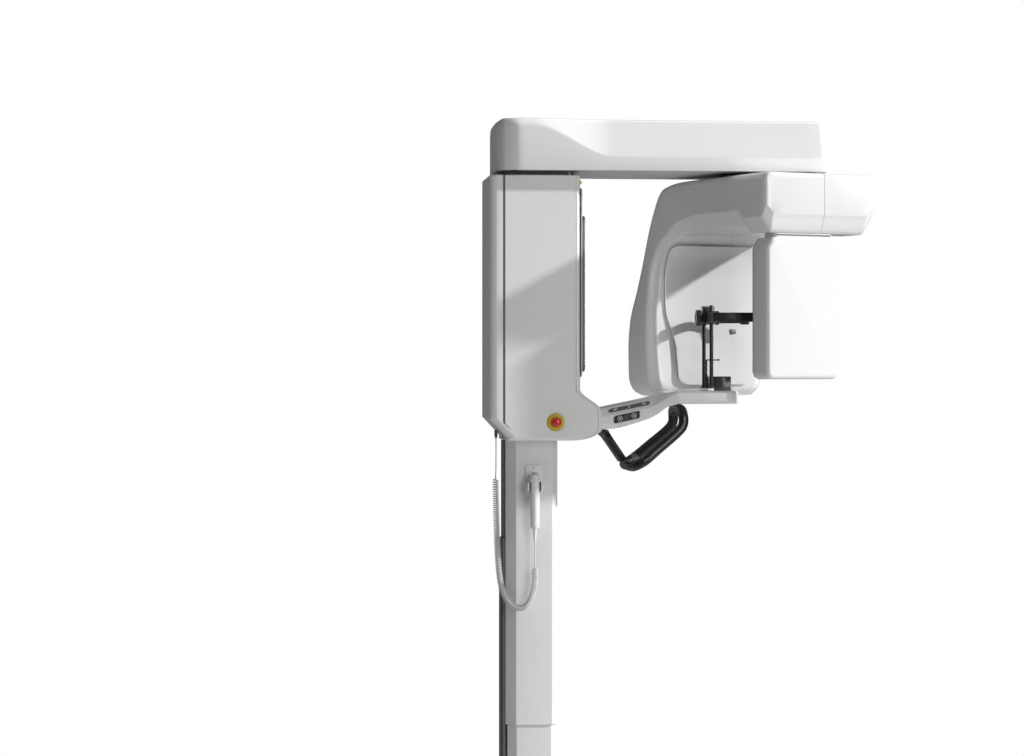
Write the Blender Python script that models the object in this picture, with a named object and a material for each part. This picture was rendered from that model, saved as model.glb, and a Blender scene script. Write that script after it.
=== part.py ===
"""Panoramic x-ray machine on a telescopic lift column.

Metres, +Z up, origin on the floor under the column's centre.  The patient stands on the -Y side,
facing +Y.  The scanning C-arm hangs under the overhead arm and turns about a vertical axis.
"""
import bmesh
import bpy
from math import asin, cos, pi, radians, sin
from mathutils import Matrix, Vector

GAP = 0.0003  # between faces that meet

# Driving dimensions
COLUMN_HALF_X = 0.063
COLUMN_FRONT, COLUMN_BACK = -0.064, 0.071
COLUMN_WALL = 0.004
INNER_STEP = 0.005  # the fixed column's skin inside the moving column's skin
OUTER_BOTTOM, OUTER_TOP = 0.625, 2.0510
INNER_TOP = 1.440
PLATE_TOP = 0.012

CARRIAGE_HALF_X = 0.125
CARRIAGE_FRONT, CARRIAGE_BACK = -0.117, 0.120
CARRIAGE_BOTTOM, CARRIAGE_TOP = 1.366, 2.051
CARRIAGE_WALL = 0.004
CARRIAGE_SPLIT_Y = -0.082

ARM_BOTTOM, ARM_TOP = 2.062, 2.200
ARM_FRONT, ARM_BACK = -0.760, 0.100
ARM_HALF_X = 0.155
ARM_WALL = 0.004

AXIS_Y = -0.570  # the scanning axis, on the part's X = 0 plane
REST_TURN = radians(22)  # how far the C-arm is turned at rest

BEAM_BOTTOM = 1.897
C_FRONT, C_BACK = -0.207, 0.129
C_WALL = 0.004
C_SPLIT_Y = -0.050
SENSOR_OUTER, SENSOR_INNER = -0.280, -0.207
SENSOR_BOTTOM, SENSOR_TOP = 1.525, 1.886

SHELF_TOP, SHELF_BOTTOM = 1.494, 1.460
SHELF_SEAM_Y, SHELF_FRONT = -0.3725, -0.539
SLOPE_IN, SLOPE_DOWN = 0.024, 0.022  # the slope along each upper edge of the shelf arm
ROD_X, ROD_Y, ROD_RADIUS, ROD_TOP = 0.057, -0.469, 0.005, 1.718
BAND_BOTTOM, BAND_TOP = 1.672, 1.699
TEMPLE_PIVOT_X, TEMPLE_PIVOT_Y = 0.0925, -0.467

HANDSET_X, HANDSET_Y = -0.095, 0.0
HANDSET_RADIUS = 0.0125
CORD_DIAMETER, COIL_DIAMETER = 0.003, 0.017

ESTOP_Y, ESTOP_Z = -0.052, 1.414


# Scene and materials
def clear_scene():
    for thing in list(bpy.data.objects):
        bpy.data.objects.remove(thing, do_unlink=True)


def paint(name, colour, roughness, metallic=0.0, alpha=1.0):
    made = bpy.data.materials.get(name)
    if made:
        return made
    made = bpy.data.materials.new(name)
    made.use_nodes = True
    shader = made.node_tree.nodes["Principled BSDF"]
    shader.inputs["Base Color"].default_value = (*colour, 1.0)
    shader.inputs["Roughness"].default_value = roughness
    shader.inputs["Metallic"].default_value = metallic
    shader.inputs["Alpha"].default_value = alpha
    return made


WHITE = ("white_cover", (0.86, 0.86, 0.85), 0.28)
STEEL = ("steel", (0.55, 0.56, 0.57), 0.35, 0.9)
DARK = ("black_plastic", (0.03, 0.03, 0.035), 0.4)


def empty(name, place, parent=None, turn=0.0):
    """A joint's empty at a place in the world, hung on its parent joint's empty."""
    made = bpy.data.objects.new(name, None)
    made.location = place
    made.rotation_euler = (0, 0, turn)
    bpy.context.collection.objects.link(made)
    if parent:
        made.parent = parent
        made.matrix_parent_inverse = Matrix.Translation(parent.location).inverted()
    return made


def finish_mesh(name, bm, look, pivot=None):
    """Links a mesh made in world coordinates, and hangs it on its joint's empty."""
    bmesh.ops.recalc_face_normals(bm, faces=bm.faces)
    mesh = bpy.data.meshes.new(name)
    bm.to_mesh(mesh)
    bm.free()
    mesh.shade_smooth()
    mesh.set_sharp_from_angle(angle=radians(35))
    made = bpy.data.objects.new(name, mesh)
    bpy.context.collection.objects.link(made)
    if look:
        mesh.materials.append(paint(*look))
    if pivot:
        made.parent = pivot
        if pivot.name != "c_arm_axis":
            made.matrix_parent_inverse = Matrix.Translation(pivot.location).inverted()
    return made


def boolean(target, cutter, operation="DIFFERENCE"):
    cutter.hide_render = True
    cutter.display_type = "WIRE"
    step = target.modifiers.new(cutter.name, "BOOLEAN")
    step.object = cutter
    step.operation = operation
    step.solver = "EXACT"


# Outlines
def fillet(corners, radii, steps=3):
    """A polygon with each corner replaced by an arc; a radius of 0 keeps the corner."""
    out = []
    for i, corner in enumerate(corners):
        here = Vector(corner)
        before = (Vector(corners[i - 1]) - here).normalized()
        after = (Vector(corners[(i + 1) % len(corners)]) - here).normalized()
        radius = radii[i] if isinstance(radii, (list, tuple)) else radii
        if radius <= 0:
            out.append(tuple(here))
            continue
        half = before.angle(after) / 2
        reach = radius / max(sin(half) / cos(half), 1e-6)
        start, end = here + before * reach, here + after * reach
        for k in range(steps + 1):
            t = k / steps
            out.append(tuple(start * (1 - t) ** 2 + here * 2 * t * (1 - t) + end * t * t))
    return out


def area(outline):
    return sum(a[0] * b[1] - b[0] * a[1] for a, b in zip(outline, outline[1:] + outline[:1])) / 2


def inset(outline, distance):
    """The outline moved inwards by a distance."""
    turn = 1 if area(outline) > 0 else -1
    out = []
    for i, point in enumerate(outline):
        here, before, after = Vector(point), Vector(outline[i - 1]), Vector(outline[(i + 1) % len(outline)])
        a, b = (here - before).normalized(), (after - here).normalized()
        na, nb = Vector((-a.y, a.x)) * turn, Vector((-b.y, b.x)) * turn
        out.append(tuple(here + (na + nb) * (distance / max(1 + na.dot(nb), 0.2))))
    return out


def box_outline(x0, y0, x1, y1, radius=0.0, steps=3):
    return fillet([(x0, y0), (x1, y0), (x1, y1), (x0, y1)], radius, steps)


def circle(radius, centre=(0.0, 0.0), sides=16):
    return [(centre[0] + radius * cos(2 * pi * k / sides), centre[1] + radius * sin(2 * pi * k / sides))
            for k in range(sides)]


def column_outline(step=0.0):
    half, cut, back_cut = COLUMN_HALF_X, 0.015, 0.025
    right = [(half - cut, COLUMN_FRONT), (half, COLUMN_FRONT + cut), (half, COLUMN_BACK - back_cut),
             (half - back_cut, COLUMN_BACK)]
    return inset(right + [(-x, y) for x, y in reversed(right)], step)


# Solids
def place(point, axis, along):
    """A 2-D point at a distance along an axis: X takes (y, z), Y takes (x, z), Z takes (x, y)."""
    u, v = point
    return {"x": (along, u, v), "y": (u, along, v), "z": (u, v, along)}[axis]


def add_loft(bm, rings, caps=True, closed=False):
    rows = [[bm.verts.new(p) for p in ring] for ring in rings]
    pairs = list(zip(rows, rows[1:])) + ([(rows[-1], rows[0])] if closed else [])
    for a, b in pairs:
        for i in range(len(a)):
            j = (i + 1) % len(a)
            bm.faces.new((a[i], a[j], b[j], b[i]))
    if caps and not closed:
        bm.faces.new(rows[0][::-1])
        bm.faces.new(rows[-1])
    return rows


def loft(name, rings, look, pivot=None, closed=False):
    bm = bmesh.new()
    add_loft(bm, rings, closed=closed)
    return finish_mesh(name, bm, look, pivot)


def prism(name, outline, axis, low, high, look, pivot=None):
    rings = [[place(p, axis, at) for p in outline] for at in (low, high)]
    return loft(name, rings, look, pivot)


def pipe(name, outer, inner, axis, low, high, look, pivot=None):
    """A straight tube between two outlines with the same number of points."""
    rings = [[place(p, axis, at) for p in ring]
             for ring, at in ((outer, low), (outer, high), (inner, high), (inner, low))]
    return loft(name, rings, look, pivot, closed=True)


def rounded_rings(outline, axis, low, high, radius, steps=2):
    """Rings of a prism whose two end edges are rounded over."""
    angles = [pi / 2 * k / steps for k in range(steps + 1)]
    starts = [(low + radius * (1 - sin(a)), radius * (1 - cos(a))) for a in reversed(angles)]
    ends = [(high - radius * (1 - sin(a)), radius * (1 - cos(a))) for a in angles]
    return [[place(p, axis, at) for p in inset(outline, by)] for at, by in starts + ends]


def rounded_prism(name, outline, axis, low, high, radius, look, pivot=None, steps=2):
    return loft(name, rounded_rings(outline, axis, low, high, radius, steps), look, pivot)


def turned(name, profile, centre, axis, look, pivot=None, sides=16, hollow=False):
    """A profile of (radius, distance along axis) turned about an axis through centre."""
    rings = [[place(p, axis, along) for p in circle(radius, centre, sides)] for radius, along in profile]
    return loft(name, rings, look, pivot, closed=hollow)


def tube_rings(path, radius, sides, closed=False):
    """Circles square to a path, kept level so that they don't twist."""
    points = [Vector(p) for p in path]
    rings = []
    for i, here in enumerate(points):
        before = points[i - 1] if closed or i else here
        after = points[(i + 1) % len(points)] if closed or i < len(points) - 1 else here
        ahead = (after - before).normalized()
        side = ahead.cross(Vector((0, 1, 0)) if abs(ahead.y) < 0.8 else Vector((0, 0, 1))).normalized()
        if rings and side.dot(last_side) < 0:
            side = -side
        last_side = side
        up = ahead.cross(side)
        rings.append([tuple(here + (side * cos(2 * pi * k / sides) + up * sin(2 * pi * k / sides))
                            * radius) for k in range(sides)])
    return rings


def smooth_path(points, spacing, closed=False):
    """Points at about even spacing on a Catmull-Rom curve through the given ones."""
    p = [Vector(q) for q in points]
    n = len(p)
    spans = n if closed else n - 1
    dense = []
    for i in range(spans):
        p0 = p[(i - 1) % n] if closed or i else p[0] * 2 - p[1]
        p1, p2 = p[i], p[(i + 1) % n]
        p3 = p[(i + 2) % n] if closed or i + 2 < n else p[-1] * 2 - p[-2]
        for k in range(24):
            t = k / 24
            dense.append((p1 * 2 + (p2 - p0) * t + (p0 * 2 - p1 * 5 + p2 * 4 - p3) * t * t
                          + (p1 * 3 - p0 - p2 * 3 + p3) * t ** 3) / 2)
    if not closed:
        dense.append(p[-1])
    loop = dense + dense[:1] if closed else dense
    lengths = [0.0]
    for a, b in zip(loop, loop[1:]):
        lengths.append(lengths[-1] + (b - a).length)
    count = max(2, round(lengths[-1] / spacing))
    out, j = [], 0
    for k in range(count if closed else count + 1):
        want = lengths[-1] * k / count
        while j < len(lengths) - 2 and lengths[j + 1] < want:
            j += 1
        part = (want - lengths[j]) / max(lengths[j + 1] - lengths[j], 1e-9)
        out.append(tuple(loop[j].lerp(loop[j + 1], part)))
    return out


def cord_tube(name, points, diameter, resolution, pivot):
    """A curve with a round section along a cord's stretch."""
    curve = bpy.data.curves.new(name, "CURVE")
    curve.dimensions = "3D"
    curve.bevel_depth = diameter / 2
    curve.bevel_resolution = resolution
    curve.use_fill_caps = True
    spline = curve.splines.new("POLY")
    spline.points.add(len(points) - 1)
    for target, point in zip(spline.points, points):
        target.co = (*point, 1.0)
    made = bpy.data.objects.new(name, curve)
    curve.materials.append(paint("cord_grey", (0.62, 0.62, 0.62), 0.45))
    bpy.context.collection.objects.link(made)
    made.parent = pivot


# Base: everything that stays on the floor
def build_base():
    prism("base_plate", box_outline(-0.34, -0.78, 0.34, 0.20, 0.06), "z", 0.0, PLATE_TOP,
          ("floor_plate", (0.80, 0.80, 0.79), 0.45, 0.3))
    skin = column_outline(INNER_STEP)
    foot = prism("inner_column", box_outline(-0.10, -0.125, 0.10, 0.135, 0.012), "z", PLATE_TOP + GAP,
                 PLATE_TOP + 0.012, WHITE)
    tube = pipe("inner_column_tube", skin, inset(skin, 0.005), "z", PLATE_TOP + 0.011, INNER_TOP, None)
    boolean(foot, tube, "UNION")
    bore = prism("inner_column_bore", inset(skin, 0.005), "z", 0.0, 0.05, None)
    boolean(foot, bore)
    prism("cable_rail", box_outline(-0.034, 0.0773, 0.034, 0.0815), "z", PLATE_TOP + 0.0125, 1.110,
          ("rail_black", (0.02, 0.02, 0.02), 0.5))
    turned("actuator_tube", [(0.034, 0.0125), (0.034, 0.120), (0.030, 0.125), (0.030, 1.100),
                             (0.021, 1.100), (0.021, 0.140)], (0, 0), "z", STEEL)
    build_foot_cover()
    switch = empty("power_switch_axis", (0.06, 0.160, 0.070))
    prism("power_switch", [(0.1520, 0.070), (0.1590, 0.0585), (0.1635, 0.058), (0.1615, 0.070),
                           (0.1635, 0.082), (0.1590, 0.0815)], "x", 0.050, 0.070, DARK, switch)


def build_foot_cover():
    outline = box_outline(-0.125, -0.150, 0.125, 0.160, 0.03)
    top, low, wall = 0.115, PLATE_TOP + 0.0005, 0.003
    rings = [(outline, low), (outline, top - 0.006), (inset(outline, 0.002), top - 0.001),
             (inset(outline, 0.006), top)]
    cover = loft("foot_cover", [[(*p, z) for p in ring] for ring, z in rings], WHITE)
    boolean(cover, prism("foot_cover_room", inset(outline, wall), "z", -0.01, top - wall, None))
    boolean(cover, prism("foot_cover_hole", column_outline(-0.004), "z", top - 0.02, top + 0.02, None))
    boolean(cover, prism("foot_cover_rail_hole", box_outline(-0.040, 0.05, 0.040, 0.092), "z", top - 0.02,
                         top + 0.02, None))
    boolean(cover, prism("foot_cover_switch_hole", box_outline(0.0485, 0.0550, 0.0715, 0.0850), "y",
                         0.150, 0.170, None))


# Lift: everything that rises with the column
def carriage_side(step=0.0):
    """The carriage seen from its side, as (y, z)."""
    corners = [(CARRIAGE_FRONT, CARRIAGE_TOP), (CARRIAGE_FRONT, 1.490), (-0.176, 1.455), (-0.176, 1.389),
               (-0.100, CARRIAGE_BOTTOM), (0.066, CARRIAGE_BOTTOM), (CARRIAGE_BACK, 1.420),
               (CARRIAGE_BACK, CARRIAGE_TOP)]
    return inset(fillet(corners, [0, 0.06, 0.018, 0.018, 0.03, 0.03, 0.018, 0]), step)


def build_column(lift):
    skin = column_outline()
    pipe("outer_column", skin, inset(skin, COLUMN_WALL), "z", OUTER_BOTTOM, OUTER_TOP, WHITE, lift)
    prism("column_back_strip", box_outline(-0.028, COLUMN_BACK + GAP, 0.028, 0.0768), "z", OUTER_BOTTOM,
          1.3655, ("strip_black", (0.04, 0.04, 0.04), 0.55), lift)
    turned("actuator_rod", [(0.018, 0.730), (0.018, OUTER_TOP)], (0, 0), "z",
           ("rod_chrome", (0.7, 0.7, 0.7), 0.15, 1.0), lift)


def build_carriage(lift):
    """A rear and a front cover around the column, open at the top under the neck plate."""
    half = CARRIAGE_HALF_X
    for name, low, high in (("carriage_rear", CARRIAGE_SPLIT_Y + GAP, 1.0),
                            ("carriage_front", -1.0, CARRIAGE_SPLIT_Y)):
        cover = rounded_prism(name, carriage_side(), "x", -half, half, 0.012, WHITE, lift, 3)
        room = carriage_side(CARRIAGE_WALL)
        room = [(y, z + 0.02 if z > CARRIAGE_TOP - 0.01 else z) for y, z in room]
        boolean(cover, rounded_prism(name + "_room", room, "x", CARRIAGE_WALL - half, half
                                     - CARRIAGE_WALL, 0.008, None, lift, 2))
        boolean(cover, prism(name + "_side", box_outline(-0.5, low, 0.5, high), "z", 1.0, 2.5, None,
                             lift), "INTERSECT")
        if name == "carriage_rear":
            boolean(cover, prism("column_hole", column_outline(-0.0006), "z", 1.3, 1.45, None, lift))
            boolean(cover, prism("rail_hole", box_outline(-0.038, 0.05, 0.038, 0.0905), "z", 1.3, 1.45,
                                 None, lift))
            boolean(cover, prism("estop_hole", circle(0.0095, (ESTOP_Y, ESTOP_Z)), "x", -0.15, -0.10,
                                 None, lift))
    prism("control_board", box_outline(-0.055, 1.520, 0.095, 1.860, 0.004, 1), "x", 0.100, 0.1016,
          ("board_green", (0.05, 0.2, 0.1), 0.5), lift)
    prism("neck_plate", box_outline(-0.112, -0.100, 0.112, 0.090, 0.015), "z", CARRIAGE_TOP + GAP,
          ARM_BOTTOM - GAP, DARK, lift)
    rounded_prism("mirror_surround", box_outline(-0.118, 1.530, 0.118, 2.020, 0.024), "y", CARRIAGE_FRONT
                  - 0.0043, CARRIAGE_FRONT - GAP, 0.0015, ("grey_gloss", (0.62, 0.63, 0.64), 0.12), lift,
                  1)
    rounded_prism("mirror", box_outline(-0.085, 1.544, 0.085, 1.949, 0.020), "y", CARRIAGE_FRONT - 0.0160,
                  CARRIAGE_FRONT - 0.0046, 0.0012, ("mirror_glass", (0.9, 0.9, 0.9), 0.02, 1.0), lift, 1)
    turned("status_lamp", [(0.005, CARRIAGE_FRONT - GAP), (0.005, CARRIAGE_FRONT - 0.003),
                           (0.003, CARRIAGE_FRONT - 0.0045)], (-0.100, 2.034), "y",
           ("lamp_green", (0.35, 0.75, 0.1), 0.3), lift, 10)


def build_estop(lift):
    side = -CARRIAGE_HALF_X
    turned("estop_ring", [(0.022, side - GAP), (0.021, side - 0.0035), (0.0085, side - 0.0035),
                          (0.0085, side - GAP)], (ESTOP_Y, ESTOP_Z), "x",
           ("safety_yellow", (0.75, 0.58, 0.02), 0.4), lift, 20, True)
    press = empty("estop_axis", (side, ESTOP_Y, ESTOP_Z), lift)
    turned("estop_button", [(0.0070, side + 0.013), (0.0070, side - 0.0085), (0.0125, side - 0.0085),
                            (0.0125, side - 0.0125), (0.0090, side - 0.0160), (0.004, side - 0.0170)],
           (ESTOP_Y, ESTOP_Z), "x", ("stop_red", (0.75, 0.04, 0.02), 0.3), press, 16)


def arm_section(y, step=0.0):
    """The arm's outline across at a place along it: the side's crease climbs towards the back."""
    rise = min(max((y + 0.19) / 0.19, 0.0), 1.0)
    rise = rise * rise * (3 - 2 * rise)
    crease, top_half = 2.098 + 0.082 * rise, 0.107 + 0.035 * rise
    back, front = max(y - 0.055, 0.0) / (ARM_BACK - 0.055), max(ARM_FRONT + 0.012 - y, 0.0) / 0.012
    half = ARM_HALF_X - 0.040 * back ** 2 - 0.008 * front ** 2
    top_half = min(top_half, half - 0.012)
    right = [(half - 0.006, ARM_BOTTOM), (half, ARM_BOTTOM + 0.006), (half, crease - 0.006),
             (half - 0.004, crease + 0.004), (top_half + 0.006, ARM_TOP - 0.010 - 0.004 * front),
             (top_half - 0.010, ARM_TOP - 0.002 - 0.004 * front), (0.0, ARM_TOP - 0.004 * front)]
    return inset(right + [(-x, z) for x, z in reversed(right[:-1])], step)


def build_arm(lift):
    stations = [ARM_FRONT, ARM_FRONT + 0.004, ARM_FRONT + 0.012, -0.40, -0.19, -0.15, -0.11, -0.07, -0.03,
                0.0, 0.055, 0.075, 0.090, ARM_BACK]
    cover = loft("arm_cover", [[(x, y, z) for x, z in arm_section(y)] for y in stations], WHITE, lift)
    room = [ARM_FRONT + ARM_WALL, *stations[2:11], 0.075, ARM_BACK - ARM_WALL]
    rings = [[(x, y, z - 0.03 if z < 2.08 else z) for x, z in arm_section(y, ARM_WALL)] for y in room]
    boolean(cover, loft("arm_cover_room", rings, None, lift))
    slot = [(x, y + AXIS_Y) for x, y in box_outline(-0.050, -0.080, 0.050, 0.080, 0.049, 5)]
    tray = box_outline(-0.1460, -0.752, 0.1460, 0.050, 0.010)
    under = prism("arm_underside", tray, "z", ARM_BOTTOM + 0.0005, 2.0655,
                  ("under_grey", (0.74, 0.74, 0.74), 0.35), lift)
    beam = prism("arm_beam", box_outline(-0.125, -0.725, 0.125, 0.045), "z", 2.0658, 2.0705, STEEL, lift)
    for x in (-0.100, 0.100):
        rail = prism(f"slide_rail_{x:+.1f}", box_outline(x - 0.009, -0.720, x + 0.009, -0.300), "z",
                     2.070, 2.0785, None, lift)
        boolean(beam, rail, "UNION")
    for plate in (under, beam):
        boolean(plate, prism(plate.name + "_slot", slot, "z", 2.0, 2.1, None, lift))


def shelf_ring(top, bottom, half, slope):
    """A shelf section between a top and a bottom (y, z), its upper edges partly or fully sloped."""
    up, down = Vector(top), Vector(bottom)
    run = (up - down).normalized()
    under = 0.005 + 0.006 * slope
    a, b, c, d = up, up - run * SLOPE_DOWN * slope, down + run * under, down
    inner = half - SLOPE_IN * slope
    return [(inner, *a), (half, *b), (half, *c), (half - under, *d),
            (under - half, *d), (-half, *c), (-half, *b), (-inner, *a)]


def build_shelf(lift):
    root = -0.176 - GAP
    arm = [((root, 1.4475), (root, 1.3935), 0.092, 1.0),
           ((-0.220, 1.4565), (-0.212, 1.3965), 0.094, 1.0),
           ((-0.307, 1.4745), (-0.300, 1.4225), 0.100, 1.0),
           ((-0.335, 1.4835), (-0.320, 1.4330), 0.104, 0.8),
           ((-0.352, 1.4900), (-0.345, 1.4510), 0.108, 0.5),
           ((SHELF_SEAM_Y, SHELF_TOP), (SHELF_SEAM_Y, 1.4598), 0.112, 0.25)]
    loft("shelf_arm", [shelf_ring(*station) for station in arm], WHITE, lift)
    plate = box_outline(-0.112, SHELF_FRONT, 0.112, SHELF_SEAM_Y - GAP)
    plate = fillet(plate, [0.055, 0.055, 0, 0], 6)
    rounded_prism("shelf_plate", plate, "z", SHELF_BOTTOM, SHELF_TOP, 0.005, WHITE, lift, 2)
    strip = box_outline(-0.303, 0.30, -0.195, 0.70, 0.0064)
    rings = [[on_slope(y, share, out) for y, share in strip] for out in (0.0006, 0.0021)]
    loft("touch_strip", rings, DARK, lift)
    build_height_keys(lift)


def on_slope(y, share, out):
    """A point on the arm's left slope: a share of the way down it, and out from it."""
    part = (-0.220 - y) / 0.087
    half, top = 0.094 + 0.006 * part, 1.4565 + 0.018 * part
    normal = Vector((-SLOPE_DOWN, 0.0, SLOPE_IN)).normalized()
    spot = Vector((-(half - SLOPE_IN * (1 - share)), y + 0.0028 * share, top - 0.0218 * share))
    return tuple(spot + normal * out)


def build_height_keys(lift):
    """A control plate on the shelf arm's left side, with two keys that press in."""
    def on_side(along, up, out):
        """A point on the arm's left flank: along it from the root, up from its middle, out from its skin."""
        part = along / 0.090
        return (-(0.0944 + 0.0068 * part) - out, -0.215 - along, 1.4205 + 0.0195 * part + up)

    outline = box_outline(-0.008, -0.0095, 0.058, 0.0095, 0.004)
    plate = loft("control_plate", [[on_side(u, v, out) for u, v in outline] for out in (0.0006, 0.0036)],
                 DARK, lift)
    for name, along in (("key_down", 0.007), ("key_up", 0.043)):
        x, y, z = on_side(along, 0.0, 0.0)
        hole = turned(name + "_hole", [(0.0080, x + 0.001), (0.0080, x - 0.010)], (y, z), "x", None, lift,
                      14)
        boolean(plate, hole)
        press = empty(name + "_axis", (x, y, z), lift)
        turned(name, [(0.0073, x - 0.0024), (0.0073, x - 0.0042), (0.0058, x - 0.0050)], (y, z), "x",
               ("key_grey", (0.35, 0.36, 0.37), 0.35), press, 14)


def build_handle(lift):
    """A bent loop under the shelf and the strut that ties it back to the arm's root."""
    radius = 0.013
    right = [(0.0, -0.388, 1.4460), (0.050, -0.388, 1.4455), (0.078, -0.389, 1.4370),
             (0.086, -0.390, 1.410), (0.090, -0.376, 1.388), (0.097, -0.325, 1.345),
             (0.102, -0.288, 1.314), (0.096, -0.264, 1.300), (0.070, -0.257, 1.297), (0.0, -0.256, 1.297)]
    loop = right + [(-x, y, z) for x, y, z in reversed(right[1:-1])]
    path = smooth_path(loop, 0.019, closed=True)
    loft("handle_loop", tube_rings(path, radius, 8, closed=True),
         ("handle_black", (0.015, 0.015, 0.017), 0.42), lift, closed=True)
    strut = []
    for half, y, z in ((0.060, -0.189, 1.3925), (0.060, -0.189, 1.385), (0.034, -0.200, 1.372),
                       (0.030, -0.2395, 1.3155)):
        strut.append([(half, y + 0.007, z - 0.003), (half, y - 0.007, z + 0.003),
                      (-half, y - 0.007, z + 0.003), (-half, y + 0.007, z - 0.003)])
    strut[0] = [(x, y, 1.3925 - GAP) for x, y, z in strut[0]]
    loft("handle_strut", strut, ("handle_black", (0.015, 0.015, 0.017), 0.42), lift)


def build_head_support(lift):
    frame = prism("support_rods", box_outline(-0.066, -0.4745, 0.066, -0.4575, 0.003, 2), "z", SHELF_TOP
                  + GAP, SHELF_TOP + 0.006, DARK, lift)
    for x in (-ROD_X, ROD_X):
        rod = turned("support_rod_" + ("left" if x < 0 else "right"),
                     [(ROD_RADIUS, SHELF_TOP + 0.004), (ROD_RADIUS, ROD_TOP - 0.001),
                      (ROD_RADIUS - 0.001, ROD_TOP)], (x, ROD_Y), "z", None, lift, 12)
        boolean(frame, rod, "UNION")
    middle = (BAND_BOTTOM + BAND_TOP) / 2
    bridge = fillet([(-0.090, -0.4775), (-0.020, -0.4775), (-0.020, -0.486), (0.020, -0.486),
                     (0.020, -0.4775), (0.090, -0.4775), (0.090, -0.4605), (0.020, -0.4605),
                     (0.020, -0.4520), (-0.020, -0.4520), (-0.020, -0.4605), (-0.090, -0.4605)],
                    [0.008, 0, 0.004, 0.004, 0, 0.008, 0.008, 0, 0.004, 0.004, 0, 0.008], 2)
    bar = prism("head_bridge", bridge, "z", BAND_BOTTOM, BAND_TOP, DARK, lift)
    tower = rounded_prism("head_bridge_tower", box_outline(-0.018, -0.4850, 0.018, -0.4530, 0.006), "z",
                          1.6665, 1.7160, 0.003, None, lift)
    boolean(bar, tower, "UNION")
    for x in (-ROD_X, ROD_X):
        boolean(bar, prism(f"rod_hole_{x:+.3f}", circle(ROD_RADIUS + 0.0004, (x, ROD_Y), 12), "z", 1.6,
                           1.75, None, lift))
    for x, side in ((-TEMPLE_PIVOT_X, "left"), (TEMPLE_PIVOT_X, "right")):
        build_temple(lift, side, x)
    boolean(bar, prism("pad_stem_hole", circle(0.0058, (0.0, middle), 12), "y", -0.50, -0.462, None, lift))
    boolean(bar, prism("knob_stem_hole", circle(0.0048, (0.0, middle), 12), "y", -0.459, -0.44, None, lift))
    turn = empty("temple_knob_axis", (0.0, -0.44, middle), lift)
    turned("temple_knob", [(0.0042, -0.4585), (0.0042, -0.4512), (0.0180, -0.4512), (0.0215, -0.4485),
                           (0.0215, -0.4400), (0.0190, -0.4375)], (0.0, middle), "y", DARK, turn, 16)
    push = empty("forehead_axis", (0.0, -0.49, middle), lift)
    turned("forehead_pad", [(0.0052, -0.4650), (0.0052, -0.4890), (0.0170, -0.4890), (0.0190, -0.4920),
                            (0.0180, -0.4990), (0.0120, -0.5020)], (0.0, middle), "y",
           ("pad_rubber", (0.05, 0.05, 0.055), 0.7), push, 16)


def build_temple(lift, side, pivot_x):
    """A flat strap that curves forward to a pad, held by a fork on the bridge's end."""
    out = 1 if pivot_x > 0 else -1
    pivot = empty("temple_" + side + "_axis", (pivot_x, TEMPLE_PIVOT_Y, (BAND_BOTTOM + BAND_TOP) / 2), lift)
    outer = [(0.0925, -0.4640), (0.109, -0.4660), (0.124, -0.476), (0.130, -0.495), (0.131, -0.545),
             (0.128, -0.580), (0.124, -0.596)]
    inner = [(0.116, -0.596), (0.121, -0.572), (0.1255, -0.543), (0.1245, -0.497), (0.120, -0.480),
             (0.107, -0.4705), (0.0925, -0.4700)]
    outline = [(out * x, y) for x, y in outer + inner]
    strap = prism("temple_" + side, outline, "z", BAND_BOTTOM, BAND_TOP, DARK, pivot)
    pad = rounded_prism("temple_pad_" + side, [(out * x, y) for x,
            y in [(0.126, -0.583), (0.123, -0.604), (0.109, -0.601), (0.114, -0.580)]], "z", BAND_BOTTOM
                        - 0.002, BAND_TOP + 0.002, 0.002, None, pivot, 1)
    boolean(strap, pad, "UNION")


def build_chin_rest(lift):
    u_shape = [(-0.047, -0.523), (-0.044, -0.523), (-0.044, -0.4800), (0.044, -0.4800), (0.044, -0.523),
               (0.047, -0.523), (0.047, -0.4770), (-0.047, -0.4770)]
    prism("chin_rest", u_shape, "z", SHELF_TOP + GAP, 1.531,
          ("clear_smoke", (0.55, 0.56, 0.57), 0.1, 0.0, 0.35), lift)
    rise = empty("bite_axis", (0.0, -0.466, 1.5), lift)
    rod = turned("bite_rod", [(0.0045, 1.5003), (0.0045, 1.536), (0.0022, 1.538), (0.0022, 1.5745)],
                 (0.0, -0.466), "z", DARK, rise, 10)
    fork = prism("bite_fork", box_outline(-0.0075, -0.5000, 0.0075, -0.4620, 0.002, 1), "z", 1.5730,
                 1.5762, None, rise)
    boolean(rod, fork, "UNION")


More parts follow.
